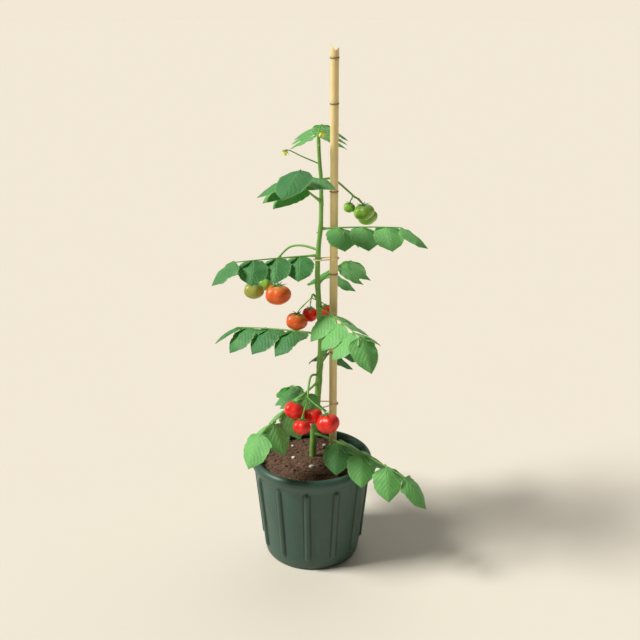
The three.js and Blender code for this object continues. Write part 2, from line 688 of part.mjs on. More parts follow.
function place(name, solid, material) {
  const mesh = new THREE.Mesh(toGeometry(solid), material);
  mesh.name = name;
  plant.add(mesh);
}

const stem = stemSolid(0);
const stemSpace = stemSolid(CLEARANCE);
const cane = makeCane();
const caneSpace = turned([[0, CANE_FOOT - CLEARANCE], [CANE_RADIUS + CLEARANCE, CANE_FOOT - CLEARANCE],
  [CANE_RADIUS + CLEARANCE, CANE_TOP], [0, CANE_TOP]], CANE_SIDES * 2).translate([CANE_X, CANE_Y, 0]);

place('pot', makePot(), COLOURS.plastic);
place('potting_soil', makeSoil(stemSpace, caneSpace), COLOURS.soil);
place('cane', cane, COLOURS.bamboo);
place('main_stem', stem, COLOURS.stem);
for (const leaf of LEAVES) {
  place(leaf.name, makeLeaf(leaf, stemSpace), COLOURS.leaf);
}
for (const truss of TRUSSES) {
  place(truss.name, makeTruss(truss, stemSpace), COLOURS.stem);
  truss.fruits.forEach((fruit, index) => {
    const end = smoothCurve(truss.path).getPointAt(1);
    const name = truss.name.replace('truss', 'tomato') + 'abcd'[index];
    place(name, placeFruit(fruit, end), COLOURS[fruit.colour]);
  });
}
for (const flower of FLOWERS) {
  place(`flower_stalk_${flower.name}`, makeFlowerStalk(flower, stemSpace), COLOURS.stem);
  place(`flower_${flower.name}`, makePetals(flower), COLOURS.petal);
}
TIES.forEach((tie, index) => {
  place(`tie_${index + 1}`, makeTie(tie), COLOURS.twine);
});

export default plant;
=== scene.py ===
"""Looks of a tomato plant in a ribbed plastic pot, tied to a bamboo cane. Metres, +Z up."""

import math
import random

import bmesh
import bpy
from mathutils import Matrix, Vector, geometry, noise


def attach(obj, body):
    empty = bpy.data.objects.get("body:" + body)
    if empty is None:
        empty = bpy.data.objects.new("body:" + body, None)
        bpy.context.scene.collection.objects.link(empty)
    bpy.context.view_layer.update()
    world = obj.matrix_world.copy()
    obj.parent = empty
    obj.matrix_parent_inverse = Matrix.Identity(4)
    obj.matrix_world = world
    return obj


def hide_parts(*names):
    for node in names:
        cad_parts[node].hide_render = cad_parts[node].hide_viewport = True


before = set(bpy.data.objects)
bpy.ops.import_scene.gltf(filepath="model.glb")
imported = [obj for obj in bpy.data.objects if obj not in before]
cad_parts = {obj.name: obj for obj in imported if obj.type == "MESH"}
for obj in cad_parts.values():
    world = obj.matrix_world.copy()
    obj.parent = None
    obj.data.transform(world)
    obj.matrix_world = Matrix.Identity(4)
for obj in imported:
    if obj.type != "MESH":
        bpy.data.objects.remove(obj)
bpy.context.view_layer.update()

UP = Vector((0.0, 0.0, 1.0))

# ---- driving sizes

# Pot: base, foot, neck, lip and inside floor are corners of its profile, as (radius, height).
# The wall between them is straight, with further corners at the heights given
POT_HEIGHT = 0.262
POT_WALL = 0.004
POT_BASE = [(0.100, 0.0), (0.108, 0.0), (0.115, 0.003), (0.118, 0.010)]
POT_FOOT = (0.120, 0.020)
POT_NECK = (0.1405, 0.228)
POT_LIP = [(0.145, 0.235), (0.149, 0.242), (0.150, 0.250), (0.1474, 0.2575), (0.140, POT_HEIGHT),
           (0.1326, 0.2575), (0.130, 0.250), (0.131, 0.244)]
POT_FLOOR = [(0.105, POT_WALL), (0.095, POT_WALL)]
OUTSIDE_AT = (0.07, 0.12, 0.17, 0.21)
INSIDE_AT = (0.240, 0.2, 0.1, 0.016)
BASE_RINGS = (0.0, 0.03, 0.060, 0.066, 0.072, 0.078, 0.084)
POT_ROW = 0.0032

# Ribs and drain holes. RIB_CROWD is the share of the columns that a rib takes on each side of its
# middle, and the degrees they cover. A dark line of painted shade lies beside each rib, where it
# meets the wall: the next rows give where that line lies, how wide and how dark it is. It fades in
# over RIB_FADE_LOW below and above the rib's lower end, and out over RIB_FADE_HIGH. Painted shade
# also lies just above each rib's top end, under the lip: the cap rows give how far above the rib it
# lies, and how high and wide it is
RIB_COUNT = 12
RIB_TURN = -94.5
RIB_RADIUS = 0.0075
RIB_SUNK = 0.002
RIB_ENDS = (0.030, 0.224)
RIB_COLUMNS = 20
RIB_CROWD = (0.34, 4.4)
RIB_SHADE_LINE = (0.0079, 0.0018)
RIB_SHADE_DARK = 0.9
RIB_FADE_LOW = (0.002, 0.006)
RIB_FADE_HIGH = (0.003, 0.002)
RIB_CAP_SHADE = (0.0010, 0.0026, 0.0055)
DRAIN_COUNT = 5
DRAIN_RADIUS = 0.006
DRAIN_CIRCLE = 0.072
CUT_SHARP = 50

# Soil. SOIL_LOOSE has the depth and closeness of each layer of unevenness
SOIL_EDGE = 0.237
SOIL_CROWN = 0.009
SOIL_MARGIN = 0.0006
SOIL_BASE = 0.105
SOIL_CORNERS_AT = (0.016, 0.13)
SOIL_RINGS = 64
SOIL_COLUMNS = 240
SOIL_WAVE = 0.0012
SOIL_LOOSE = [(0.0022, 55), (0.0016, 140), (0.0011, 320)]
SOIL_CALM_FROM = 0.93

# Crumbs, bark chips and perlite: the large grains as (x, y, radius), the rest as smallest and
# largest size. A crumb has the smallest size and up to the second number more. LUMP_RISE is how
# far a lump's middle lies above the soil, as a share of its radius
BATCHES = 13
CRUMB_COUNT = 520
CRUMB_SIZE = (0.0009, 0.0034)
CRUMB_LARGE = 0.0026
CRUMB_UNEVEN = [(0.35, 400)]
CHIP_COUNT = 52
CHIP_LENGTH = (0.004, 0.010)
CHIP_WIDTH = (0.001, 0.0022)
CHIP_THICKNESS = 0.0008
PERLITE = [(-0.046, 0.009, 0.005), (0.0, -0.036, 0.007), (0.032, 0.083, 0.005),
           (-0.050, 0.085, 0.004)]
PERLITE_SMALL_COUNT = 14
PERLITE_SMALL = (0.0005, 0.0009)
PERLITE_LARGE = 0.002
PERLITE_PITS = [(0.28, 260), (0.14, 700)]
PERLITE_REACH = 0.128
LUMP_RISE = 0.25
ANY_TURN = 6.28

# Cane: at each node a ridge and a swelling as (height, width), and a groove below the ridge as
# (depth, how far below, width). CANE_RING is the widths of the dark ring and of its soft edge, and
# CANE_BLOOM how far below a node its pale bloom lies and how wide it is. The branch groove above a
# node has its depth as a share of the radius, its width and turn as angles, and the heights where
# it starts and fades. CANE_NOTCH is measured from the cane's axis and its top end
CANE_AXIS = (0.053, 0.032)
CANE_RADIUS = 0.0096
CANE_ENDS = (0.030, 1.236)
CANE_NODES = [0.325, 0.522, 0.719, 0.915, 1.111, 1.209]
CANE_RIDGE = (0.0011, 0.0012)
CANE_GROOVE = (0.0007, 0.0030, 0.0013)
CANE_SWELL = (0.0003, 0.010)
CANE_RING = (0.0016, 0.006)
CANE_BLOOM = (0.010, 0.007)
BRANCH_GROOVE = dict(depth=0.05, width=0.35, turn=0.6, start=0.002, fade=0.05)
CANE_HOLLOW = 0.005
CANE_ROW = 0.012
CANE_NODE_ROW = 0.0006
CANE_COLUMNS = 40
CANE_BORE = 0.0055
CANE_NOTCH = [(-0.013, 0.004), (0.0022, -0.012), (0.013, -0.001), (0.013, 0.02), (-0.013, 0.02)]

# Stem: centre line from the root end to the tip, radius at both ends, how much it swells at each
# leaf and over which height, and the depth of its ridges and how fast they wind
STEM_PATH = [
    (0.002, 0.020, 0.150), (0.0025, 0.020, 0.245), (0.007, 0.020, 0.330), (0.014, 0.020, 0.398),
    (0.019, 0.020, 0.470), (0.023, 0.020, 0.550), (0.018, 0.020, 0.650), (0.015, 0.020, 0.715),
    (0.017, 0.020, 0.780), (0.0225, 0.020, 0.840), (0.0235, 0.020, 0.900), (0.023, 0.020, 0.945),
    (0.0195, 0.020, 0.990), (0.017, 0.020, 1.043)]
STEM_RADII = (0.0095, 0.0038)
STEM_SWELL = (0.12, 0.009)
STEM_RIDGES = 5
STEM_RIDGE = (0.025, 14)
STEM_UNEVEN = (0.05, 60)
BUD_RADIUS = 0.0024
BUD_TAPER = 0.001
BUD_OUT = 0.0045
BUD_BELOW = 0.004

# Hairs on all green stalks
HAIR_LENGTH = 0.0016
HAIR_RADIUS = 0.00009
HAIR_TIP = 0.00002
STEM_HAIRS = 900
LEAF_HAIRS = 90
TRUSS_HAIRS = 50
PEDICEL_HAIRS = 24
FLOWER_HAIRS = 30

# Leaves: height and length of the leaf stalk, its compass angles (turn) and slopes (lift) at both
# ends, where its first leaflet pair sits and how far apart the pairs are, the leaflets' length and
# width, how far the left and right ones hang, how far they lean forward (sweep), and how far the
# end leaflet hangs (tip). The leaf tones are how light each leaf's green is near the stem and at
# the
# end: partly the leaf's own green, partly painted light and shade, lighter where a leaf or its
# leaflets lie in shadow and darker where they face the light. They run from 0 to 1, and what lies
# beyond is held there. LEAF_OWN is what only some leaves have: a leaf with a root has leaflets that
# start that wide instead of on a narrow foot, bent gives single pairs their own angles, and
# tip_turn turns the end leaflet aside
LEAF_KEYS = ("height", "length", "turn", "lift", "first", "gap", "leaflet", "hang", "sweep", "tip")
LEAF_ROWS = [
    (0.309, 0.281, (-50, -29), (8, -20),   0.087, 0.072, (0.084, 0.068), (32, 46), 38, 49),
    (0.374, 0.218, (109, 108), (8, -22),   0.063, 0.061, (0.079, 0.072), (40, 45), 21, 48),
    (0.449, 0.220, (228, 234), (-18, -15), 0.054, 0.062, (0.080, 0.070), (55, 42), 9,  55),
    (0.491, 0.208, (70, 70),   (10, -10),  0.064, 0.055, (0.077, 0.064), (35, 37), 20, 50),
    (0.571, 0.226, (159, 157), (1, -7),    0.069, 0.062, (0.081, 0.072), (40, 42), 28, 39),
    (0.643, 0.176, (-56, -61), (-7, -9),   0.058, 0.050, (0.082, 0.066), (32, 42), 0,  52),
    (0.695, 0.215, (66, 67),   (12, -9),   0.064, 0.056, (0.080, 0.064), (35, 34), 18, 50),
    (0.767, 0.198, (197, 199), (1, -1),    0.044, 0.055, (0.071, 0.068), (41, 45), 21, 41),
    (0.830, 0.187, (-7, -11),  (6, 0),     0.043, 0.055, (0.073, 0.068), (60, 37), 21, 36),
    (0.894, 0.222, (228, 285), (32, 23.5), 0.084, 0.043, (0.099, 0.070), (19, 40), 40, 25),
    (1.029, 0.142, (93, 81),   (13, 5),    0.046, 0.038, (0.075, 0.052), (29, 29), 8,  35),
]
# Each leaf's own green with painted light and shade in it: lighter where it lies in shadow, darker
# where it faces the light
LEAF_GREEN_AND_PAINTED_LIGHT = [
    (-0.1, 1.35), (0.4, 0.4), (0.85, 0.95), (0.25, 0.3), (0.05, 0.1), (0.95, 1.0), (0.8, 0.8),
    (0.1, 0.2), (0.85, 0.9), (1.5, 0.0), (0.7, 0.7)]
LEAF_OWN = {
    5: dict(root=(0.75, 0.75)),
    8: dict(root=(0.75, 0.75)),
    9: dict(root=(0.8, 0.8), bent={0: dict(hang=(50, 37), sweep=(66, 21), root=(0, 0.8))}),
    10: dict(root=(0.6, 0.6), tip_turn=-35,
             bent={0: dict(hang=(8, 46), sweep=(39, 64)), 2: dict(hang=(26, 31), sweep=(37, 13))}),
}
LEAVES = [dict(zip(LEAF_KEYS, row), tone=tone, name=f"leaf_{number:02}", **LEAF_OWN.get(number, {}))
          for number, (row, tone) in enumerate(zip(LEAF_ROWS, LEAF_GREEN_AND_PAINTED_LIGHT), 1)]
LEAF_PAIRS = 3
LEAF_ACROSS = 14
LEAF_ALONG = 32
LEAF_THICKNESS = 0.0007
LEAF_FOLD = 14
LEAF_CURL = 34
LEAF_TWIST = 5
LEAF_TEETH = 6
LEAF_TOOTH = 0.075
LEAF_RIPPLE = 0.0042
LEAF_QUILT = 0.0007
LEAFLET_STEPS = 60
END_LEAFLET = (1.1, 1.05)
# Leaf stalk: its length in radii at the foot, its radius at the tip, and how much thicker it is
# where it leaves the stem and over which length. A leaflet's own stalk is thin at both ends
STALK_SLENDER = 70
STALK_TIP = 0.0011
STALK_FLARE = (0.0016, 0.012)
STALK_STEPS = 12
STALK_SINK = 0.0005
LEAFLET_STALK = (0.0013, 0.0005)
# Side veins: pairs on a leaflet, how far they slant and bend, how far left and right differ, and
# their width as a share of the gap between them
VEIN_PAIRS = 7.0
VEIN_SLANT = 0.42
VEIN_BEND = 1.25
VEIN_STAGGER = 0.4
VEIN_WIDTH = 0.07
# Half a leaflet's outline: share of its length, and half width as a share of the greatest
LEAF_OUTLINE = [(0.0, 0.040), (0.03, 0.10), (0.06, 0.52), (0.11, 0.80), (0.19, 0.95),
                (0.30, 0.97), (0.50, 0.93), (0.66, 0.84), (0.78, 0.62), (0.89, 0.32),
                (0.96, 0.11), (1.0, 0.0)]

# Trusses: the main stalk's path, and each fruit's centre, greatest radius, half height and ripeness
TRUSSES = [
    dict(name="truss_1",
         path=[(0.017, 0.020, 0.466), (0.0, -0.010, 0.475), (-0.007, -0.050, 0.458),
               (-0.008, -0.074, 0.436)],
         fruits=[((-0.040, -0.092, 0.423), 0.024, 0.020, "ripe"),
                 ((-0.022, -0.126, 0.396), 0.021, 0.018, "ripe"),
                 ((0.004, -0.080, 0.403), 0.022, 0.019, "ripe"),
                 ((0.039, -0.112, 0.398), 0.027, 0.023, "ripe")]),
    dict(name="truss_2",
         path=[(0.017, 0.020, 0.655), (0.005, 0.042, 0.664), (-0.001, 0.066, 0.646)],
         fruits=[((-0.037, 0.062, 0.589), 0.026, 0.021, "turning"),
                 ((-0.004, 0.098, 0.595), 0.020, 0.018, "ripe"),
                 ((0.036, 0.092, 0.604), 0.019, 0.017, "ripe")]),
    dict(name="truss_3",
         path=[(0.017, 0.020, 0.780), (-0.020, 0.038, 0.786), (-0.050, 0.056, 0.778),
               (-0.079, 0.072, 0.748)],
         fruits=[((-0.141, 0.078, 0.663), 0.024, 0.020, "pale"),
                 ((-0.115, 0.124, 0.667), 0.019, 0.017, "green"),
                 ((-0.082, 0.078, 0.653), 0.031, 0.025, "turning")]),
    dict(name="truss_4",
         path=[(0.023, 0.020, 0.944), (0.050, 0.052, 0.940), (0.086, 0.076, 0.908),
               (0.104, 0.084, 0.890)],
         fruits=[((0.090, 0.096, 0.864), 0.014, 0.012, "green"),
                 ((0.124, 0.082, 0.856), 0.025, 0.019, "green"),
                 ((0.135, 0.126, 0.835), 0.024, 0.019, "green")]),
]
TRUSS_RADIUS = 0.0024
PEDICEL_RADIUS = 0.0016
PEDICEL_RISE = 0.010
FRUIT_LOBES = 5
FRUIT_LOBE_DEPTH = 0.05
FRUIT_LOBE_UNEQUAL = 0.4
FRUIT_DIMPLE = 0.003
FRUIT_UPRIGHT = 0.7
# How far the pleats round the stalk reach outwards and upwards. PLEAT_AVERAGE keeps them from
# making the fruit larger
PLEAT_OUT = 0.05
PLEAT_UP = 0.02
PLEAT_AVERAGE = 0.64
CALYX_CLEAR = 0.0009
CALYX_RISE = 0.09
SEPAL_COUNT = 5
SEPAL_REACH = 0.66
SEPAL_THICKNESS = 0.0006
SEPAL_GRID = (4, 9)
SEPAL_TONE = 0.45
SEPAL_OUTLINE = [(0.0, 0.10), (0.12, 0.115), (0.45, 0.085), (0.8, 0.04), (1.0, 0.0)]

# Flowers: the stalk's path, ending at the flower's crown. PETAL_OUTLINE is half a petal's or
# sepal's outline: share of its length, and half width as a share of the greatest
FLOWERS = [
    dict(name="left", path=[(0.0195, 0.020, 0.980), (-0.020, 0.012, 0.998),
                            (-0.050, 0.006, 1.013), (-0.057, 0.005, 1.013)]),
    dict(name="top", path=[(0.017, 0.020, 1.036), (0.020, 0.011, 1.051), (0.024, 0.005, 1.056),
                           (0.026, 0.003, 1.054)]),
]
FLOWER_STALK = (0.0017, 0.0005)
PETAL_COUNT = 5
PETAL_THICKNESS = 0.0005
PETAL_GRID = (5, 10)
PETAL_TONE = 0.5
PETAL_OUTLINE = [(0.0, 0.35), (0.25, 0.9), (0.5, 1.0), (0.75, 0.65), (0.92, 0.2), (1.0, 0.0)]
FLOWER_SEPALS = dict(outer=0.0075, wide=0.0014, fall=0.003)
FLOWER_PETALS = dict(outer=0.009, wide=0.0036, fall=0.010)
PETALS_BELOW = 0.0018
ANTHER_RADIUS = 0.0026
ANTHER_ENDS = (0.0006, -0.006, -0.011)

# Twine: each tie's height, and how far its centre line stays from the stem's and cane's middles.
# Its strands go round once in TWINE_LAY of its radii, drawn in TWINE_STEPS steps
TIES = [dict(height=0.384, stem_round=0.024, cane_round=0.0122),
        dict(height=0.757, stem_round=0.0096, cane_round=0.01185)]
TWINE_RADIUS = 0.0018
TWINE_STRANDS = 3
TWINE_LAY = 7
TWINE_STEPS = 12
STRAND_RADIUS = 0.56
STRAND_OFFSET = 0.5
KNOT_RADIUS = 0.0022
KNOT_TURNS = 1.5
KNOT_STEPS = 24

# Random seeds
SOIL_SEED = 7
PERLITE_SEED = 23
STEM_SEED = 3
LEAF_SEED = 100
TRUSS_SEED = 200
FLOWER_SEED = 300

# Camera, and each light as where it comes from, its strength and its width in degrees
CAMERA_PLACE = (0.0208, -1.989, 1.303)
CAMERA_PITCH = 19.1
LENS = 50
SENSOR_WIDTH = 36
VIEW_REACH = 400
KEY_LIGHT = ((-0.98, -0.18, 1.0), 3.62, 19)
BACK_LIGHT = ((0.20, 0.70, 1.0), 0.66, 60)
LIGHT_COLOUR = (1.0, 0.985, 0.95)
SKY_COLOUR = (1.0, 0.965, 0.92, 1)
SKY_STRENGTH = 0.09
WALL_COLOUR = (0.888, 0.807, 0.665, 1)
FLOOR_RADIUS = 150.0


# ---- shared shape tools

def lerp(a, b, share):
    return a + (b - a) * share


def clamp(value):
    return min(max(value, 0.0), 1.0)


def smooth_step(low, high, value):
    share = clamp((value - low) / (high - low))
    return share * share * (3 - 2 * share)


def bell(away, width):
    """1 in the middle, falling off smoothly to both sides."""
    return math.exp(-(away / width) ** 2)


def uneven(spot, layers):
    """Smooth random unevenness. Each layer has its depth and how close its bumps are."""
    height = 0.0
    for depth, closeness in layers:
        height += depth * noise.noise(spot * closeness)
    return height


def polar(reach, turn):
    """The x and y of a spot at a distance and an angle, in radians."""
    return reach * math.cos(turn), reach * math.sin(turn)


def direction(compass, slope):
    """The way that points along a compass angle and up by a slope, both in degrees."""
    slope = math.radians(slope)
    return Vector((*polar(math.cos(slope), math.radians(compass)), math.sin(slope)))


def along_table(table, share):
    """Reads a table of (share, value) rows on the straight lines between them."""
    for (a, low), (b, high) in zip(table, table[1:]):
        if share <= b:
            part = clamp((share - a) / (b - a))
            return lerp(low, high, part)
    return table[-1][1]


class Path:
    """A smooth curve through points, read by its share of the length."""

    def __init__(self, points, smooth=True):
        spots = [Vector(p) for p in points]
        if smooth:
            spots = self._rounded(spots)
        self.spots = spots
        self.reach = [0.0]
        for a, b in zip(spots, spots[1:]):
            self.reach.append(self.reach[-1] + (b - a).length)
        self.length = self.reach[-1]

    @staticmethod
    def _rounded(spots, steps=24):
        ends = [2 * spots[0] - spots[1]] + spots + [2 * spots[-1] - spots[-2]]
        line = [spots[0]]
        for p0, p1, p2, p3 in zip(ends, ends[1:], ends[2:], ends[3:]):
            d0, d1, d2 = ((b - a).length ** 0.5 for a, b in ((p0, p1), (p1, p2), (p2, p3)))
            near = ((p1 - p0) / d0 - (p2 - p0) / (d0 + d1) + (p2 - p1) / d1) * d1
            far = ((p2 - p1) / d1 - (p3 - p1) / (d1 + d2) + (p3 - p2) / d2) * d1
            line += geometry.interpolate_bezier(p1, p1 + near / 3, p2 - far / 3, p2, steps)[1:]
        return line

    def at(self, share):
        goal = clamp(share) * self.length
        low, high = 0, len(self.reach) - 1
        while high - low > 1:
            middle = (low + high) // 2
            if self.reach[middle] <= goal:
                low = middle
            else:
                high = middle
        span = self.reach[high] - self.reach[low]
        part = (goal - self.reach[low]) / span if span > 0 else 0.0
        return self.spots[low].lerp(self.spots[high], part)

    def frames(self, steps):
        """Matrices along the path, z forwards, turned as little as possible."""
        spots = [self.at(i / steps) for i in range(steps + 1)]
        first = (spots[1] - spots[0]).normalized()
        side = first.orthogonal().normalized()
        made = []
        before = first
        for i, spot in enumerate(spots):
            ahead = spots[min(i + 1, steps)] - spots[max(i - 1, 0)]
            ahead = ahead.normalized()
            side = before.rotation_difference(ahead) @ side
            side = (side - ahead * side.dot(ahead)).normalized()
            before = ahead
            turn = Matrix((side, ahead.cross(side), ahead)).transposed().to_4x4()
            made.append(Matrix.Translation(spot) @ turn)
        return made


def new_bmesh(toned=False):
    """A shape with a UV, and with a tone if its finish reads one."""
    bm = bmesh.new()
    bm.loops.layers.uv.new("UVMap")
    if toned:
        bm.verts.layers.float.new("tone")
    return bm


def set_tone(bm, verts, shade):
    tone = bm.verts.layers.float["tone"]
    for vert in verts:
        vert[tone] = shade


def paint(faces, finish):
    for face in faces:
        face.material_index = finish
        face.smooth = True
        face.tag = True


def paint_new(bm, finish):
    """Gives the faces made since the last call their material's number."""
    paint([face for face in bm.faces if not face.tag], finish)


def take_in(bm, part):
    """Adds a small shape to a larger one."""
    mesh = bpy.data.meshes.new("part")
    part.to_mesh(mesh)
    part.free()
    bm.from_mesh(mesh)
    bpy.data.meshes.remove(mesh)


def turn_profile(bm, outline, columns):
    """Turns a line of (radius, height) corners once round the z axis, closed where it starts."""
    spots = [bm.verts.new((radius, 0.0, height)) for radius, height in outline]
    for low, high in zip(spots, spots[1:]):
        bm.edges.new((low, high))
    bmesh.ops.spin(bm, geom=bm.verts[:] + bm.edges[:], cent=(0, 0, 0), axis=(0, 0, 1),
                   angle=2 * math.pi, steps=columns, use_merge=True)
    bmesh.ops.remove_doubles(bm, verts=bm.verts[:], dist=1e-6)


def add_tube(whole, path, radius_at, sides, steps):
    """A closed tube along a path, drawn from one ring, extruded from frame to frame."""
    bm = bmesh.new()
    frames = path.frames(steps)
    size = radius_at(0.0)
    before = frames[0] @ Matrix.Scale(size, 4)
    ring = bmesh.ops.create_circle(bm, cap_ends=True, radius=1.0, segments=sides, matrix=before)
    edges = list(ring["verts"][0].link_faces[0].edges)
    for i in range(1, steps + 1):
        made = bmesh.ops.extrude_edge_only(bm, edges=edges)["geom"]
        verts = [part for part in made if isinstance(part, bmesh.types.BMVert)]
        known = set(verts)
        edges = [part for part in made if isinstance(part, bmesh.types.BMEdge)
                 and known.issuperset(part.verts)]
        after = frames[i] @ Matrix.Scale(max(radius_at(i / steps), 1e-5), 4)
        bmesh.ops.transform(bm, matrix=after @ before.inverted(), verts=verts)
        before = after
    bmesh.ops.contextual_create(bm, geom=edges)
    take_in(whole, bm)


def add_blade(bm, grid, place, shade, thickness, upper, under):
    """A thin shell, one finish above and one below. place(u, v) puts its upper corners in space."""
    across, along = grid
    verts = bmesh.ops.create_grid(bm, x_segments=across, y_segments=along, size=0.5)["verts"]
    uv = bm.loops.layers.uv.verify()
    faces = {face for vert in verts for face in vert.link_faces}
    for face in faces:
        for loop in face.loops:
            loop[uv].uv = (loop.vert.co.x + 0.5, loop.vert.co.y + 0.5)
    for vert in verts:
        vert.co = place(vert.co.x + 0.5, vert.co.y + 0.5)
    set_tone(bm, verts, shade)
    bmesh.ops.remove_doubles(bm, verts=verts, dist=1e-6)
    above = [face for face in faces if face.is_valid]
    made = bmesh.ops.solidify(bm, geom=above, thickness=-thickness)["geom"]
    paint([part for part in made if isinstance(part, bmesh.types.BMFace)], under)
    paint(above, upper)


def add_hairs(bm, path, radius_at, count, draw, length=HAIR_LENGTH):
    """Short stiff hairs that stand out all round a stalk."""
    hairs = bmesh.new()
    for _ in range(count):
        share = draw.uniform(0.02, 0.98)
        spot = path.at(share)
        ahead = (path.at(share + 0.01) - path.at(share - 0.01)).normalized()
        out = ahead.orthogonal().normalized()
        out.rotate(Matrix.Rotation(draw.uniform(0, 2 * math.pi), 3, ahead))
        root = spot + out * (radius_at(share) - 0.0001)
        lean = (out + ahead * draw.uniform(-0.3, 0.3)).normalized()
        tall = length * draw.uniform(0.5, 1.15)
        turn = UP.rotation_difference(lean).to_matrix().to_4x4()
        place = Matrix.Translation(root + lean * tall / 2) @ turn
        bmesh.ops.create_cone(hairs, cap_ends=True, segments=3, radius1=HAIR_RADIUS,
                              radius2=HAIR_TIP, depth=tall, matrix=place)
    take_in(bm, hairs)


def new_object(name, data):
    made = bpy.data.objects.new(name, data)
    bpy.context.scene.collection.objects.link(made)
    return made


def mesh_object(name, bm, finishes=()):
    """Makes an object of a shape and gives it its finishes."""
    mesh = bpy.data.meshes.new(name)
    bm.to_mesh(mesh)
    bm.free()
    for finish in finishes:
        mesh.materials.append(finish)
    return new_object(name, mesh)


def finish_piece(bm, name, finishes, stands_for=(), sharp=None):
    """Makes the object, rides it on the plant and hides the solids it stands for."""
    bmesh.ops.recalc_face_normals(bm, faces=bm.faces[:])
    piece = mesh_object(name, bm, finishes)
    if sharp:
        piece.data.set_sharp_from_angle(angle=math.radians(sharp))
    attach(piece, "root")
    if stands_for:
        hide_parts(*stands_for)
    return piece


# ---- node tools

def node(tree, kind, values=None, **settings):
    """Adds a node. values has its inputs: numbers, colours, or other nodes' outputs."""
    made = tree.nodes.new("ShaderNode" + kind)
    for key, value in settings.items():
        setattr(made, key, value)
    for key, value in (values or {}).items():
        socket = made.inputs[key]
        if isinstance(value, bpy.types.NodeSocket):
            tree.links.new(value, socket)
        else:
            socket.default_value = value
    return made


def maths(tree, operation, *values):
    return node(tree, "Math", dict(enumerate(values)), operation=operation).outputs[0]


def blend(tree, share, first, second):
    """Mixes two colours: share 0 is the first, 1 the second."""
    return node(tree, "Mix", {0: share, 6: first, 7: second}, data_type="RGBA").outputs[2]


def spread(tree, value, low, high, start=0.0, end=1.0, smooth=False):
    """Maps low to high onto start to end, and holds it there."""
    return node(tree, "MapRange", {0: value, 1: low, 2: high, 3: start, 4: end},
                interpolation_type="SMOOTHSTEP" if smooth else "LINEAR").outputs[0]


def patches(tree, where, scale, detail, roughness=0.5):
    """Soft random patches, from 0 to 1."""
    return node(tree, "TexNoise", {"Vector": where, "Scale": scale, "Detail": detail,
                                   "Roughness": roughness}).outputs["Fac"]


def along_axis(tree, where, axis):
    return node(tree, "SeparateXYZ", {0: where}).outputs[axis]


def uv_pattern(tree):
    return node(tree, "TexCoord").outputs["UV"]


def attribute(tree, name):
    return node(tree, "Attribute", attribute_name=name, attribute_type="GEOMETRY").outputs["Fac"]


def place_pattern(tree, scale=(1, 1, 1)):
    """A pattern's own coordinates on the piece."""
    where = node(tree, "TexCoord").outputs["Object"]
    return node(tree, "Mapping", {"Vector": where, "Scale": scale}).outputs[0]


def new_group(name, inputs, outputs):
    """An effect that several finishes share. inputs and outputs have the kind of each socket."""
    group = bpy.data.node_groups.new(name, "ShaderNodeTree")
    for way, sockets in (("INPUT", inputs), ("OUTPUT", outputs)):
        for label, kind in sockets.items():
            group.interface.new_socket(label, in_out=way, socket_type="NodeSocket" + kind)
    entry = group.nodes.new("NodeGroupInput").outputs
    leave = group.nodes.new("NodeGroupOutput").inputs
    return group, entry, leave


def use_group(tree, group, values):
    return node(tree, "Group", values, node_tree=group).outputs


def socket_name(word):
    return word.replace("_", " ").title().replace("Ior", "IOR")


def new_finish(name, rough, **sockets):
    """A material with its shader's plain numbers set."""
    material = bpy.data.materials.new(name)
    material.use_nodes = True
    tree = material.node_tree
    tree.nodes.clear()
    shader = node(tree, "BsdfPrincipled", {"Roughness": rough})
    for key, value in sockets.items():
        shader.inputs[socket_name(key)].default_value = value
    output = node(tree, "OutputMaterial")
    tree.links.new(shader.outputs[0], output.inputs[0])
    return material, tree, shader


def wire(tree, shader, **links):
    for key, value in links.items():
        tree.links.new(value, shader.inputs[socket_name(key)])


# ---- shared effects

def make_mottle():
    """Uneven colour: two shades over broad patches, with fine grain inside them."""
    group, entry, leave = new_group(
        "mottle", dict(Vector="Vector", Scale="Float", Grain="Float", Light="Color", Dark="Color"),
        dict(Color="Color", Mask="Float"))
    broad = patches(group, entry["Vector"], entry["Scale"], 3.0, 0.6)
    fine_scale = maths(group, "MULTIPLY", entry["Scale"], 7.0)
    fine = patches(group, entry["Vector"], fine_scale, 4.0, 0.7)
    mixed = node(group, "Mix", {0: entry["Grain"], 2: broad, 3: fine}).outputs[0]
    mask = spread(group, mixed, 0.34, 0.66)
    group.links.new(blend(group, mask, entry["Dark"], entry["Light"]), leave["Color"])
    group.links.new(mask, leave["Mask"])
    return group


def make_relief():
    """Fine unevenness of a surface, as a normal, with any height given on top of it."""
    group, entry, leave = new_group(
        "relief", dict(Vector="Vector", Scale="Float", Depth="Float", Height="Float", Rise="Float"),
        dict(Normal="Vector"))
    grain = patches(group, entry["Vector"], entry["Scale"], 4.0, 0.6)
    first = node(group, "Bump", {"Height": grain, "Distance": entry["Depth"], "Strength": 1.0})
    second = node(group, "Bump", {"Height": entry["Height"], "Distance": entry["Rise"],
                                  "Strength": 1.0, "Normal": first.outputs[0]})
    group.links.new(second.outputs[0], leave["Normal"])
    return group


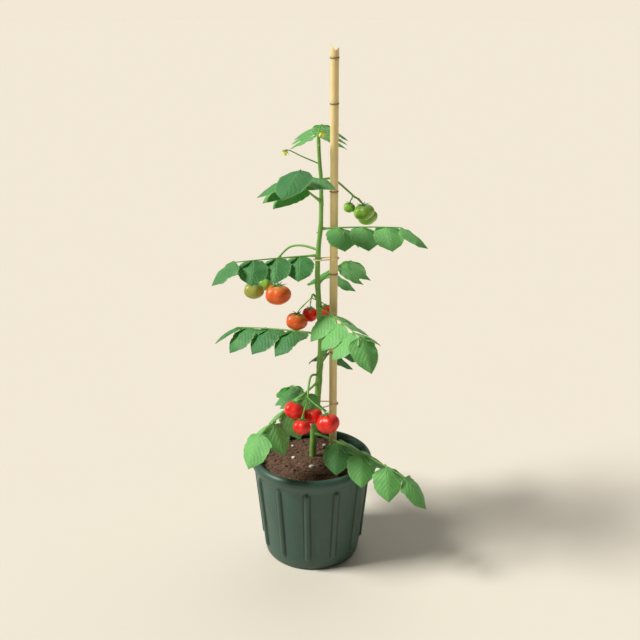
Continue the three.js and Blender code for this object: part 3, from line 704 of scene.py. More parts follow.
def make_veins():
    """A leaf's midrib and side veins, drawn on a UV that runs across and along the blade."""
    group, entry, leave = new_group("veins", dict(UV="Vector", Pairs="Float", Slant="Float"),
                                    dict(Ribs="Float", Quilt="Float", Side="Float"))
    across, along = along_axis(group, entry["UV"], 0), along_axis(group, entry["UV"], 1)
    off = maths(group, "SUBTRACT", across, 0.5)
    side = maths(group, "MULTIPLY", maths(group, "ABSOLUTE", off), 2.0)
    narrow = spread(group, along, 0.0, 1.0, 0.055, 0.015)
    middle = maths(group, "SUBTRACT", 1.0, maths(group, "DIVIDE", side, narrow))
    middle = maths(group, "MAXIMUM", middle, 0.0)
    bend = maths(group, "POWER", side, VEIN_BEND)
    run = maths(group, "SUBTRACT", along, maths(group, "MULTIPLY", bend, entry["Slant"]))
    turn = maths(group, "MULTIPLY", maths(group, "GREATER_THAN", off, 0.0), VEIN_STAGGER)
    phase = maths(group, "ADD", maths(group, "MULTIPLY", run, entry["Pairs"]), turn)
    near = maths(group, "ABSOLUTE", maths(group, "SUBTRACT", maths(group, "FRACT", phase), 0.5))
    thin = spread(group, side, 0.0, 1.0, VEIN_WIDTH, VEIN_WIDTH * 0.35)
    lateral = spread(group, near, 0.0, thin, 1.0, 0.0)
    net = node(group, "TexVoronoi", {"Vector": entry["UV"], "Scale": 22.0},
               feature="DISTANCE_TO_EDGE").outputs["Distance"]
    mesh = spread(group, net, 0.0, 0.07, 0.22, 0.0)
    ribs = maths(group, "MAXIMUM", maths(group, "MAXIMUM", middle, lateral), mesh)
    quilt = maths(group, "MULTIPLY", near, 2.0)
    for made, label in ((ribs, "Ribs"), (quilt, "Quilt"), (side, "Side")):
        group.links.new(made, leave[label])
    return group


MOTTLE = make_mottle()
RELIEF = make_relief()
VEINS = make_veins()


def mottled(tree, where, scale, grain, light, dark):
    return use_group(tree, MOTTLE, {"Vector": where, "Scale": scale, "Grain": grain,
                                    "Light": light, "Dark": dark})


def relief(tree, where, scale, depth, height=0.0, rise=0.0):
    return use_group(tree, RELIEF, {"Vector": where, "Scale": scale, "Depth": depth,
                                    "Height": height, "Rise": rise})["Normal"]


def veins(tree, pairs=VEIN_PAIRS, slant=VEIN_SLANT):
    return use_group(tree, VEINS, {"UV": uv_pattern(tree), "Pairs": pairs, "Slant": slant})


# ---- finishes

def plain_finish(name, rough, mottle, grain=None, **sockets):
    """Uneven colour and a fine relief. mottle and grain are what mottled and relief take."""
    material, tree, shader = new_finish(name, rough, **sockets)
    where = place_pattern(tree)
    wire(tree, shader, base_color=mottled(tree, where, *mottle)["Color"])
    if grain:
        wire(tree, shader, normal=relief(tree, where, *grain))
    return material


def pot_plastic():
    """Green plastic with painted shade beside the ribs and over their top ends, dull streaks, and
    dust near the floor.
    """
    material, tree, shader = new_finish("pot plastic", 0.45, specular_ior_level=0.45)
    where = place_pattern(tree)
    body = mottled(tree, where, 9.0, 0.3, (0.050, 0.112, 0.082, 1), (0.038, 0.092, 0.066, 1))
    # Painted shade: darkens the plastic beside each rib and just over its top end
    shaded_body = blend(tree, attribute(tree, "crease_shade"), body["Color"], (0.008, 0.022, 0.014, 1))
    streaks = patches(tree, place_pattern(tree, (60, 60, 4)), 1.0, 5.0, 0.65)
    stain = maths(tree, "MULTIPLY", spread(tree, streaks, 0.55, 0.75), 0.16)
    spots = spread(tree, patches(tree, where, 260.0, 5.0, 0.75), 0.45, 0.7)
    low = spread(tree, along_axis(tree, where, 2), 0.0, 0.05, 1.0, 0.0, smooth=True)
    dirt = maths(tree, "MULTIPLY", maths(tree, "MULTIPLY", spots, low), 0.5)
    dust = maths(tree, "MAXIMUM", stain, dirt)
    wire(tree, shader, base_color=blend(tree, dust, shaded_body, (0.19, 0.20, 0.155, 1)),
         roughness=spread(tree, dust, 0.0, 0.4, 0.42, 0.7),
         normal=relief(tree, where, 900.0, 0.00008))
    return material


def compost():
    material, tree, shader = new_finish("compost", 0.95, specular_ior_level=0.2)
    where = place_pattern(tree)
    body = mottled(tree, where, 110.0, 0.55, (0.210, 0.124, 0.080, 1), (0.112, 0.062, 0.043, 1))
    tone = maths(tree, "MULTIPLY", attribute(tree, "tone"), 0.6)
    wire(tree, shader, base_color=blend(tree, tone, body["Color"], (0.22, 0.13, 0.08, 1)),
         normal=relief(tree, where, 650.0, 0.0009, body["Mask"], 0.0010))
    return material


def bamboo():
    """Straw-coloured fibres with aged patches, dark rings, pale bloom and pith at the cut end."""
    material, tree, shader = new_finish("bamboo", 0.42, specular_ior_level=0.5)
    fibres = place_pattern(tree, (1.0, 1.0, 0.025))
    body = mottled(tree, fibres, 420.0, 0.5, (0.98, 0.78, 0.38, 1), (0.91, 0.68, 0.30, 1))
    old = spread(tree, patches(tree, place_pattern(tree, (1, 1, 0.3)), 30.0, 3.0), 0.5, 0.75,
                 0.0, 0.45)
    bloom = maths(tree, "MULTIPLY", attribute(tree, "bloom"), 0.2)
    colour = body["Color"]
    for share, shade in ((old, (0.86, 0.58, 0.23, 1)),
                         (attribute(tree, "ring"), (0.22, 0.12, 0.035, 1)),
                         (bloom, (0.80, 0.70, 0.48, 1)),
                         (attribute(tree, "pith"), (0.86, 0.72, 0.38, 1))):
        colour = blend(tree, share, colour, shade)
    wire(tree, shader, base_color=colour, roughness=spread(tree, body["Mask"], 0.0, 1.0, 0.5, 0.36),
         normal=relief(tree, fibres, 900.0, 0.00025))
    return material


def green_stem(name, light, dark, scale):
    """Green skin with fine lengthwise fibres, corky near the soil."""
    material, tree, shader = new_finish(name, 0.5, specular_ior_level=0.4)
    where, fibres = place_pattern(tree), place_pattern(tree, (1.0, 1.0, 0.12))
    body = mottled(tree, fibres, scale, 0.45, light, dark)
    old = spread(tree, along_axis(tree, where, 2), 0.22, 0.38, 0.55, 0.0, smooth=True)
    cork = maths(tree, "MULTIPLY", old, spread(tree, patches(tree, where, 90.0, 4.0), 0.4, 0.65))
    wire(tree, shader, base_color=blend(tree, cork, body["Color"], (0.20, 0.15, 0.06, 1)),
         normal=relief(tree, fibres, 700.0, 0.0004))
    return material


def leaf_face(name, light, dark, vein, rough, vein_share, sink, glow):
    """One side of a blade. sink is -1 where the veins are pressed in, 1 where they stand out."""
    material, tree, shader = new_finish(name, rough, specular_ior_level=0.35,
                                        subsurface_weight=glow, subsurface_scale=0.004,
                                        subsurface_radius=(0.4, 1.0, 0.2))
    where = place_pattern(tree)
    body = mottled(tree, where, 38.0, 0.3, (1, 1, 1, 1), (0, 0, 0, 1))
    uneven_tone = spread(tree, body["Mask"], 0.0, 1.0, -0.16, 0.16)
    # The tone holds the leaf's own green together with painted light and shade
    green = blend(tree, maths(tree, "ADD", attribute(tree, "tone"), uneven_tone), dark, light)
    lines = veins(tree)
    veined = blend(tree, maths(tree, "MULTIPLY", lines["Ribs"], vein_share), green, vein)
    rim = spread(tree, lines["Side"], 0.86, 1.0, 0.0, 0.35)
    quilt = maths(tree, "MULTIPLY", lines["Quilt"], 0.5)
    height = maths(tree, "MULTIPLY_ADD", lines["Ribs"], sink, quilt)
    wire(tree, shader, base_color=blend(tree, rim, veined, vein),
         normal=relief(tree, where, 1200.0, 0.00015, height, 0.0007))
    return material


def fruit_skin(name, body, body_dark, shoulder, reach):
    """Taut skin, with a shoulder of its own colour that reaches down from the stalk."""
    material, tree, shader = new_finish(name, 0.34, specular_ior_level=0.4, coat_weight=0.10,
                                        coat_roughness=0.2, subsurface_weight=0.15,
                                        subsurface_scale=0.006, subsurface_radius=(1.0, 0.35, 0.2))
    where = place_pattern(tree)
    skin = mottled(tree, where, 55.0, 0.25, body, body_dark)
    wander = patches(tree, where, 70.0, 3.0)
    edge = maths(tree, "MULTIPLY_ADD", maths(tree, "SUBTRACT", wander, 0.5), 0.25,
                 along_axis(tree, uv_pattern(tree), 1))
    top = spread(tree, edge, 1.0 - reach, 1.0, smooth=True)
    ripening = blend(tree, top, skin["Color"], shoulder)
    dots = node(tree, "TexVoronoi", {"Vector": where, "Scale": 520.0}).outputs["Distance"]
    speckle = blend(tree, spread(tree, dots, 0.0, 0.16, 0.22, 0.0), ripening, (0.95, 0.72, 0.42, 1))
    wire(tree, shader, base_color=speckle, roughness=spread(tree, wander, 0.3, 0.7, 0.30, 0.40),
         normal=relief(tree, where, 350.0, 0.00006))
    return material


def petal_yellow():
    material, tree, shader = new_finish("petal yellow", 0.55, subsurface_weight=0.1,
                                        subsurface_scale=0.002)
    lines = veins(tree, 9.0, 0.9)
    where = place_pattern(tree)
    body = mottled(tree, where, 300.0, 0.4, (0.98, 0.90, 0.12, 1), (0.96, 0.80, 0.06, 1))
    share = maths(tree, "MULTIPLY", lines["Ribs"], 0.3)
    wire(tree, shader, base_color=blend(tree, share, body["Color"], (0.80, 0.60, 0.04, 1)),
         normal=relief(tree, where, 2500.0, 0.0001, lines["Quilt"], 0.0002))
    return material


POT_PLASTIC = pot_plastic()
COMPOST = compost()
PERLITE_WHITE = plain_finish("perlite", 0.85, grain=(1500.0, 0.0006), mottle=(
    400.0, 0.5, (0.95, 0.90, 0.82, 1), (0.72, 0.66, 0.58, 1)))
BAMBOO = bamboo()
STEM_GREEN = green_stem("stem green", (0.24, 0.50, 0.10, 1), (0.15, 0.36, 0.06, 1), 120.0)
STALK_GREEN = green_stem("stalk green", (0.25, 0.52, 0.11, 1), (0.17, 0.38, 0.075, 1), 200.0)
HAIR_SILVER = green_stem("hair", (0.50, 0.62, 0.36, 1), (0.40, 0.52, 0.26, 1), 200.0)
LEAF_UPPER = leaf_face("leaf upper", light=(0.20, 0.53, 0.15, 1), dark=(0.048, 0.21, 0.060, 1),
                       vein=(0.30, 0.56, 0.20, 1), rough=0.5, vein_share=0.4, sink=-1.0, glow=0.12)
LEAF_UNDER = leaf_face("leaf under", light=(0.28, 0.50, 0.26, 1), dark=(0.15, 0.32, 0.17, 1),
                       vein=(0.42, 0.58, 0.36, 1), rough=0.65, vein_share=0.5, sink=1.0, glow=0.85)
FRUIT_SKINS = {
    "ripe": fruit_skin("ripe skin", body=(0.90, 0.034, 0.022, 1), body_dark=(0.80, 0.022, 0.014, 1),
                       shoulder=(0.78, 0.10, 0.02, 1), reach=0.30),
    "turning": fruit_skin("turning skin", body=(0.88, 0.16, 0.026, 1),
                          body_dark=(0.80, 0.10, 0.016, 1), shoulder=(0.70, 0.34, 0.06, 1),
                          reach=0.40),
    "pale": fruit_skin("pale skin", body=(0.44, 0.42, 0.075, 1), body_dark=(0.34, 0.36, 0.06, 1),
                       shoulder=(0.20, 0.32, 0.06, 1), reach=0.45),
    "green": fruit_skin("green skin", body=(0.35, 0.64, 0.09, 1), body_dark=(0.28, 0.56, 0.07, 1),
                        shoulder=(0.21, 0.45, 0.065, 1), reach=0.40),
}
PETAL_YELLOW = petal_yellow()
ANTHER_GOLD = plain_finish("anther gold", 0.5, grain=(2500.0, 0.00015), mottle=(
    500.0, 0.5, (0.98, 0.78, 0.07, 1), (0.90, 0.62, 0.04, 1)))
JUTE = plain_finish("jute twine", 0.9, grain=(3000.0, 0.0004), sheen_weight=0.25, mottle=(
    700.0, 0.6, (0.97, 0.80, 0.50, 1), (0.82, 0.62, 0.34, 1)))
FLOOR_PAPER = plain_finish("floor paper", 0.9, specular_ior_level=0.0, mottle=(
    3.0, 0.4, (0.828, 0.767, 0.658, 1), (0.824, 0.763, 0.654, 1)))

# The finishes of leaves and stalks, and their numbers on a piece
GREEN_FINISHES = [LEAF_UPPER, LEAF_UNDER, STALK_GREEN, HAIR_SILVER]
UPPER, UNDER, STALK, HAIR = range(4)


# ---- pot

def wall_radius(height):
    """The outside radius of the pot's straight wall."""
    share = (height - POT_FOOT[1]) / (POT_NECK[1] - POT_FOOT[1])
    return lerp(POT_FOOT[0], POT_NECK[0], share)


def pot_outline():
    """The pot's wall from the middle of its underside, over the lip, to the middle inside."""
    outside = [(wall_radius(height), height) for height in OUTSIDE_AT]
    inside = [(wall_radius(height) - POT_WALL, height) for height in INSIDE_AT]
    corners = POT_BASE + [POT_FOOT] + outside + [POT_NECK] + POT_LIP + inside + POT_FLOOR
    line = Path([(radius, 0.0, height) for radius, height in corners])
    steps = round(line.length / POT_ROW)
    spots = [line.at(i / steps) for i in range(steps + 1)]
    bottom = [(radius, 0.0) for radius in BASE_RINGS]
    floor = [(radius, POT_WALL) for radius in reversed(BASE_RINGS)]
    return bottom + [(spot.x, spot.z) for spot in spots] + floor


def rib_rise(around, height):
    """How far a rib stands out of the wall, at a distance round it from the rib's middle."""
    beyond = max(RIB_ENDS[0] + RIB_RADIUS - height, height - RIB_ENDS[1] + RIB_RADIUS, 0.0)
    left = RIB_RADIUS ** 2 - around ** 2 - beyond ** 2
    return max(math.sqrt(left) - RIB_SUNK, 0.0) if left > 0 else 0.0


def rib_painted_shade(around, height):
    """How dark the painted shade is in the line beside a rib and over its top end."""
    low, high = RIB_ENDS
    within = smooth_step(low - RIB_FADE_LOW[0], low + RIB_FADE_LOW[1], height)
    within *= 1 - smooth_step(high - RIB_FADE_HIGH[0], high + RIB_FADE_HIGH[1], height)
    edge = bell(abs(around) - RIB_SHADE_LINE[0], RIB_SHADE_LINE[1])
    cap = bell(height - high - RIB_CAP_SHADE[0], RIB_CAP_SHADE[1])
    cap *= math.exp(-(around / RIB_CAP_SHADE[2]) ** 4)
    return clamp(max(edge * within * RIB_SHADE_DARK, cap))


def sector_angle(share):
    """Crowds the wall's columns onto a rib. share is -0.5 to 0.5 across the rib's sector."""
    dense, reach = RIB_CROWD
    half = 180 / RIB_COUNT
    if abs(share) <= dense:
        return share / dense * reach
    rest = (abs(share) - dense) / (0.5 - dense)
    return math.copysign(lerp(reach, half, rest), share)


def make_pot():
    bm = bmesh.new()
    crease_shade = bm.verts.layers.float.new("crease_shade")
    turn_profile(bm, pot_outline(), RIB_COUNT * RIB_COLUMNS)
    for vert in bm.verts:
        radius = math.hypot(vert.co.x, vert.co.y)
        share = math.atan2(vert.co.y, vert.co.x) / (2 * math.pi) * RIB_COUNT
        sector = round(share)
        turn = sector_angle(share - sector)
        height = vert.co.z
        if radius > wall_radius(height) - 0.0005 and POT_FOOT[1] < height < POT_LIP[0][1]:
            around = radius * math.radians(turn)
            radius += rib_rise(around, height)
            # Painted shade beside the rib and over its top end, which the plastic reads
            vert[crease_shade] = rib_painted_shade(around, height)
        angle = math.radians(RIB_TURN + sector * 360 / RIB_COUNT + turn)
        vert.co = (*polar(radius, angle), height)
    paint_new(bm, 0)
    piece = finish_piece(bm, "pot_shell", [POT_PLASTIC], ["pot"])
    cut_drains(piece)


def cut_drains(piece):
    """Round holes through the pot's base."""
    bm = bmesh.new()
    for i in range(DRAIN_COUNT):
        spot = (*polar(DRAIN_CIRCLE, 2 * math.pi * i / DRAIN_COUNT), POT_WALL / 2)
        bmesh.ops.create_cone(bm, cap_ends=True, segments=28, radius1=DRAIN_RADIUS,
                              radius2=DRAIN_RADIUS, depth=3 * POT_WALL,
                              matrix=Matrix.Translation(spot))
    cut_with(piece, bm)


def cut_with(piece, bm):
    """Takes a closed shape out of a piece and leaves plain mesh, with the cut's edges sharp."""
    bmesh.ops.recalc_face_normals(bm, faces=bm.faces[:])
    cutter = mesh_object("cutter", bm)
    cut = piece.modifiers.new("cut", "BOOLEAN")
    cut.object = cutter
    cut.operation = "DIFFERENCE"
    cut.solver = "EXACT"
    graph = bpy.context.evaluated_depsgraph_get()
    mesh = bpy.data.meshes.new_from_object(piece.evaluated_get(graph),
                                           preserve_all_data_layers=True, depsgraph=graph)
    piece.modifiers.remove(cut)
    piece.data = mesh
    mesh.set_sharp_from_angle(angle=math.radians(CUT_SHARP))
    bpy.data.objects.remove(cutter)


# ---- soil

def soil_height(x, y):
    """The soil's surface: crowned at the middle, loose and uneven."""
    share = min(math.hypot(x, y) / wall_radius(SOIL_EDGE), 1.0)
    wave = math.sin(x * 130 + 1) * math.cos(y * 110) + 0.6 * math.sin(x * 310 - y * 270)
    loose = uneven(Vector((x, y, 0.0)), SOIL_LOOSE)
    calm = 1 - smooth_step(SOIL_CALM_FROM, 1.0, share)
    return SOIL_EDGE + SOIL_CROWN * (1 - share) + (SOIL_WAVE * wave + loose) * calm


def soil_radius(height):
    """How far the soil reaches inside the pot's wall."""
    return wall_radius(height) - POT_WALL - SOIL_MARGIN


def scatter(draw, reach):
    """A random spot on the soil, evenly spread over a disc."""
    away = reach * math.sqrt(draw.random())
    return polar(away, draw.uniform(0, 2 * math.pi))


def any_turn(draw, axis="Z"):
    return Matrix.Rotation(draw.uniform(0, ANY_TURN), 4, axis)


def add_lump(bm, spot, size, shape, detail, layers):
    """A lump sunk a little into the soil. shape turns and flattens it, layers make it uneven."""
    height = soil_height(*spot)
    place = Matrix.Translation((*spot, height + LUMP_RISE * size)) @ shape
    verts = bmesh.ops.create_icosphere(bm, subdivisions=detail, radius=size, matrix=place)["verts"]
    middle = Vector((*spot, height))
    for vert in verts:
        vert.co = middle + (vert.co - middle) * (1 + uneven(vert.co, layers))
    return verts


def make_soil():
    bm = bmesh.new()
    tone = bm.verts.layers.float.new("tone")
    edge = soil_radius(SOIL_EDGE)
    low = POT_WALL + SOIL_MARGIN
    outline = [(0.0, low), (SOIL_BASE, low)]
    outline += [(soil_radius(height), height) for height in SOIL_CORNERS_AT]
    outline += [(edge, SOIL_EDGE - 0.001)]
    outline += [(edge * (1 - i / SOIL_RINGS), SOIL_EDGE) for i in range(SOIL_RINGS + 1)]
    turn_profile(bm, outline, SOIL_COLUMNS)
    bmesh.ops.recalc_face_normals(bm, faces=bm.faces[:])
    for vert in bm.verts:
        if vert.co.z > SOIL_EDGE - 0.0005:
            vert.co.z = soil_height(vert.co.x, vert.co.y)
            vert[tone] = clamp(noise.noise(vert.co * 60) * 0.6 + 0.2)
    add_loose_compost(bm, edge, random.Random(SOIL_SEED))
    paint_new(bm, 0)
    finish_piece(bm, "compost_bed", [COMPOST], ["potting_soil"])


def add_loose_compost(bm, edge, draw):
    """Crumbs and chips, made in small batches because that is quicker."""
    for _ in range(BATCHES):
        loose = bmesh.new()
        loose.verts.layers.float.new("tone")
        for _ in range(CRUMB_COUNT // BATCHES):
            spot = scatter(draw, edge - 0.005)
            add_crumb(loose, spot, CRUMB_SIZE[0] + CRUMB_SIZE[1] * draw.random() ** 3, draw)
        for _ in range(CHIP_COUNT // BATCHES):
            add_chip(loose, scatter(draw, edge - 0.008), draw)
        take_in(bm, loose)


def add_crumb(bm, spot, size, draw):
    turn = any_turn(draw) @ any_turn(draw, "X")
    flat = Matrix.Diagonal((1.0, draw.uniform(0.75, 1.0), draw.uniform(0.6, 0.8), 1.0))
    detail = 2 if size > CRUMB_LARGE else 1
    verts = add_lump(bm, spot, size, flat @ turn, detail, CRUMB_UNEVEN)
    set_tone(bm, verts, draw.uniform(0.0, 0.7))


def add_chip(bm, spot, draw):
    """A thin sliver of bark that lies on the soil."""
    length = draw.uniform(*CHIP_LENGTH)
    width = draw.uniform(*CHIP_WIDTH)
    size = Matrix.Diagonal((length, width, CHIP_THICKNESS, 1.0))
    tilt = Matrix.Rotation(draw.uniform(-0.25, 0.25), 4, "Y")
    turn = any_turn(draw)
    place = Matrix.Translation((*spot, soil_height(*spot) + 0.0005)) @ turn @ tilt @ size
    verts = bmesh.ops.create_cube(bm, size=1.0, matrix=place)["verts"]
    edges = {edge for vert in verts for edge in vert.link_edges}
    set_tone(bm, verts, draw.uniform(0.2, 1.0))
    bmesh.ops.bevel(bm, geom=list(edges), offset=0.0003, offset_type="OFFSET", affect="EDGES",
                    segments=1, profile=0.5, material=-1)


def make_perlite():
    """White pitted grains that lie in the soil."""
    bm = new_bmesh()
    draw = random.Random(PERLITE_SEED)
    grains = list(PERLITE)
    for _ in range(PERLITE_SMALL_COUNT):
        spot = scatter(draw, PERLITE_REACH)
        grains.append((*spot, draw.uniform(*PERLITE_SMALL)))
    for x, y, size in grains:
        shape = any_turn(draw) @ Matrix.Diagonal((1.0, 0.85, 0.6, 1.0))
        detail = 3 if size > PERLITE_LARGE else 2
        add_lump(bm, (x, y), size, shape, detail, PERLITE_PITS)
    paint_new(bm, 0)
    finish_piece(bm, "perlite_grains", [PERLITE_WHITE])


# ---- cane

def cane_radius(height):
    """The cane's radius: a ridge at each node over a shallow groove, and a slim waist between."""
    size = CANE_RADIUS
    for knot in CANE_NODES:
        above = height - knot
        size += CANE_RIDGE[0] * bell(above, CANE_RIDGE[1])
        size -= CANE_GROOVE[0] * bell(above + CANE_GROOVE[1], CANE_GROOVE[2])
        size += CANE_SWELL[0] * bell(above, CANE_SWELL[1])
    return size


def cane_outline():
    """The cane from its foot up, with close rows at each node, and down into the hollow top."""
    low, high = CANE_ENDS
    count = round((high - low) / CANE_ROW)
    heights = {round(lerp(low, high, i / count), 5) for i in range(count + 1)}
    for knot in CANE_NODES:
        heights.update(round(knot + i * CANE_NODE_ROW, 5) for i in range(-11, 12))
    outline = [(0.0, low)]
    outline += [(cane_radius(height), height) for height in sorted(heights) if height <= high]
    floor = CANE_NODES[-1] + CANE_HOLLOW
    outline += [(CANE_BORE, high), (CANE_BORE * 0.98, (high + floor) / 2), (CANE_BORE * 0.9, floor),
                (CANE_BORE * 0.5, floor - 0.001), (0.0, floor - 0.0015)]
    return outline


def branch_groove(turn, height):
    """The flat groove above each node, on one side and then the other, that fades upwards."""
    passed = [knot for knot in CANE_NODES if knot < height]
    since = height - max(passed, default=CANE_ENDS[0])
    if since <= BRANCH_GROOVE["start"]:
        return 0.0
    away = math.remainder(turn - len(passed) * math.pi - BRANCH_GROOVE["turn"], 2 * math.pi)
    return bell(away, BRANCH_GROOVE["width"]) * math.exp(-since / BRANCH_GROOVE["fade"])


def make_cane():
    bm = bmesh.new()
    ring, bloom, pith = (bm.verts.layers.float.new(name) for name in ("ring", "bloom", "pith"))
    turn_profile(bm, cane_outline(), CANE_COLUMNS)
    for vert in bm.verts:
        radius = math.hypot(vert.co.x, vert.co.y)
        height = vert.co.z
        away = min(abs(height - knot) for knot in CANE_NODES)
        vert[ring] = bell(away, CANE_RING[0]) + 0.25 * bell(away, CANE_RING[1])
        vert[bloom] = max(bell(height - knot + CANE_BLOOM[0], CANE_BLOOM[1]) for knot in CANE_NODES)
        vert[pith] = 1.0 if radius < CANE_RADIUS - 0.002 and height > 1.0 else 0.0
        if radius > CANE_RADIUS - 0.001:
            groove = branch_groove(math.atan2(vert.co.y, vert.co.x), height)
            scale = 1 - BRANCH_GROOVE["depth"] * groove
            vert.co.x *= scale
            vert.co.y *= scale
    bmesh.ops.translate(bm, vec=(*CANE_AXIS, 0.0), verts=bm.verts[:])
    paint_new(bm, 0)
    piece = finish_piece(bm, "bamboo_cane", [BAMBOO], ["cane"])
    cut_snapped_top(piece)


def cut_snapped_top(piece):
    """The cane's top was snapped, which left a notch between two points."""
    bm = bmesh.new()
    top = CANE_ENDS[1]
    verts = [bm.verts.new((CANE_AXIS[0] + x, CANE_AXIS[1] - 0.02, top + z)) for x, z in CANE_NOTCH]
    face = bm.faces.new(verts)
    made = bmesh.ops.extrude_face_region(bm, geom=[face])["geom"]
    moved = [part for part in made if isinstance(part, bmesh.types.BMVert)]
    bmesh.ops.translate(bm, vec=(0, 0.04, 0), verts=moved)
    cut_with(piece, bm)


# ---- stem

STEM = Path(STEM_PATH)


def stem_centre(height):
    """The stem's centre line at a height."""
    low, high = 0.0, 1.0
    for _ in range(24):
        middle = (low + high) / 2
        if STEM.at(middle).z < height:
            low = middle
        else:
            high = middle
    return STEM.at(low)


def stem_radius(share):
    """The stem's radius at a share of its length: it thins upwards and swells at each leaf."""
    height = STEM.at(share).z
    swell = max(bell(height - leaf["height"], STEM_SWELL[1]) for leaf in LEAVES)
    return lerp(*STEM_RADII, share ** 1.1) * (1 + STEM_SWELL[0] * swell)


def add_bud(bm, leaf):
    """A small bud on the stem, across from where a leaf stalk leaves it."""
    foot = stem_centre(leaf["height"] - BUD_BELOW)
    share = (foot.z - STEM.spots[0].z) / (STEM.spots[-1].z - STEM.spots[0].z)
    tip = foot + direction(leaf["turn"][0] + 180, -35) * (stem_radius(share) + BUD_OUT)
    bud = Path([foot, tip], smooth=False)
    add_tube(bm, bud, lambda along: BUD_RADIUS - BUD_TAPER * along, 8, 4)


def make_stem():
    """The stem with shallow ridges and an uneven skin, its buds and its hairs."""
    bm = new_bmesh()
    add_tube(bm, STEM, stem_radius, 20, 260)
    for vert in bm.verts:
        centre = stem_centre(vert.co.z)
        out = vert.co - centre
        turn = math.atan2(out.y, out.x)
        ridge = STEM_RIDGE[0] * math.cos(STEM_RIDGES * turn + vert.co.z * STEM_RIDGE[1])
        bump = Vector((turn, vert.co.z * STEM_UNEVEN[1], 3.1))
        ridge += STEM_UNEVEN[0] * noise.noise(bump)
        vert.co = centre + out * (1 + ridge)
    for leaf in LEAVES:
        add_bud(bm, leaf)
    paint_new(bm, 0)
    add_hairs(bm, STEM, stem_radius, STEM_HAIRS, random.Random(STEM_SEED))
    paint_new(bm, 1)
    finish_piece(bm, "stem_skin", [STEM_GREEN, HAIR_SILVER], ["main_stem"], sharp=60)


# ---- leaves

def leaf_stalk_path(leaf):
    """The leaf's main stalk, from the stem's centre outwards."""
    spot = stem_centre(leaf["height"])
    points = [spot]
    for i in range(STALK_STEPS):
        share = (i + 0.5) / STALK_STEPS
        ahead = direction(lerp(*leaf["turn"], share), lerp(*leaf["lift"], share))
        spot = spot + ahead * leaf["length"] / STALK_STEPS
        points.append(spot)
    return Path(points)


def leaf_stalk_radius(leaf):
    """A stalk that thins outwards and is thicker where it leaves the stem."""
    length = leaf["length"]
    return lambda share: (lerp(length / STALK_SLENDER, STALK_TIP, share ** 0.8)
                          + STALK_FLARE[0] * bell(share * length, STALK_FLARE[1]))


def leaf_outline(root):
    """Half a leaflet's width along it, with a narrow foot or a wide one."""
    if not root:
        return LEAF_OUTLINE
    foot = [(0.0, root * 0.86), (0.02, root), (0.10, lerp(root, 0.95, 0.6))]
    return foot + [row for row in LEAF_OUTLINE if row[0] > 0.12]


def add_leaflet(bm, base, compass, fall, size, root, light, draw):
    """One leaflet: a toothed blade, folded on its midrib, quilted between veins, curling down."""
    length, width = size
    across = direction(compass + 90, 0)
    spots = [base.copy()]
    for i in range(LEAFLET_STEPS):
        middle = (i + 0.5) / LEAFLET_STEPS
        ahead = direction(compass, -fall - LEAF_CURL * (middle - 0.5))
        spots.append(spots[-1] + ahead * length / LEAFLET_STEPS)
    wave = draw.uniform(0, 100)
    twist = draw.uniform(-LEAF_TWIST, LEAF_TWIST)
    fold = math.tan(math.radians(LEAF_FOLD))
    outline = leaf_outline(root)

    def place(u, v):
        side = 2 * u - 1
        ramp = (v * LEAF_TEETH + 0.35) % 1.0
        tooth = LEAF_TOOTH * ramp * smooth_step(0.08, 0.2, v) * (1 - smooth_step(0.88, 1.0, v))
        half = along_table(outline, v) * width / 2
        reach = half * side * (1 + tooth * abs(side) ** 5)
        near = min(int(v * LEAFLET_STEPS), LEAFLET_STEPS - 1)
        centre = spots[near].lerp(spots[near + 1], v * LEAFLET_STEPS - near)
        normal = direction(compass, 90 - fall - LEAF_CURL * (v - 0.5))
        blade = 1.0 if root else smooth_step(0.05, 0.16, v)
        drop = -abs(reach) * fold * blade
        drop += reach * math.tan(math.radians(twist)) * blade
        ripple = noise.noise(Vector((side * 1.3, v * 5.0, wave)))
        drop += LEAF_RIPPLE * ripple * abs(side) ** 1.5 * blade * half / (width / 2)
        phase = (v - VEIN_SLANT * abs(side) ** VEIN_BEND) * VEIN_PAIRS
        phase += VEIN_STAGGER if side > 0 else 0.0
        quilt = abs((phase % 1.0) - 0.5) * 2
        drop += LEAF_QUILT * quilt * blade * min(abs(side) * 4, 1.0) * half / (width / 2)
        return centre + across * reach + normal * drop

    shade = clamp(light + draw.uniform(-0.1, 0.1))
    add_blade(bm, (LEAF_ACROSS, LEAF_ALONG), place, shade, LEAF_THICKNESS, UPPER, UNDER)
    stalk = Path([spots[0], spots[2], spots[5], spots[8]], smooth=False)
    add_tube(bm, stalk, lambda share: lerp(*LEAFLET_STALK, share), 6, 5)
    paint_new(bm, STALK)


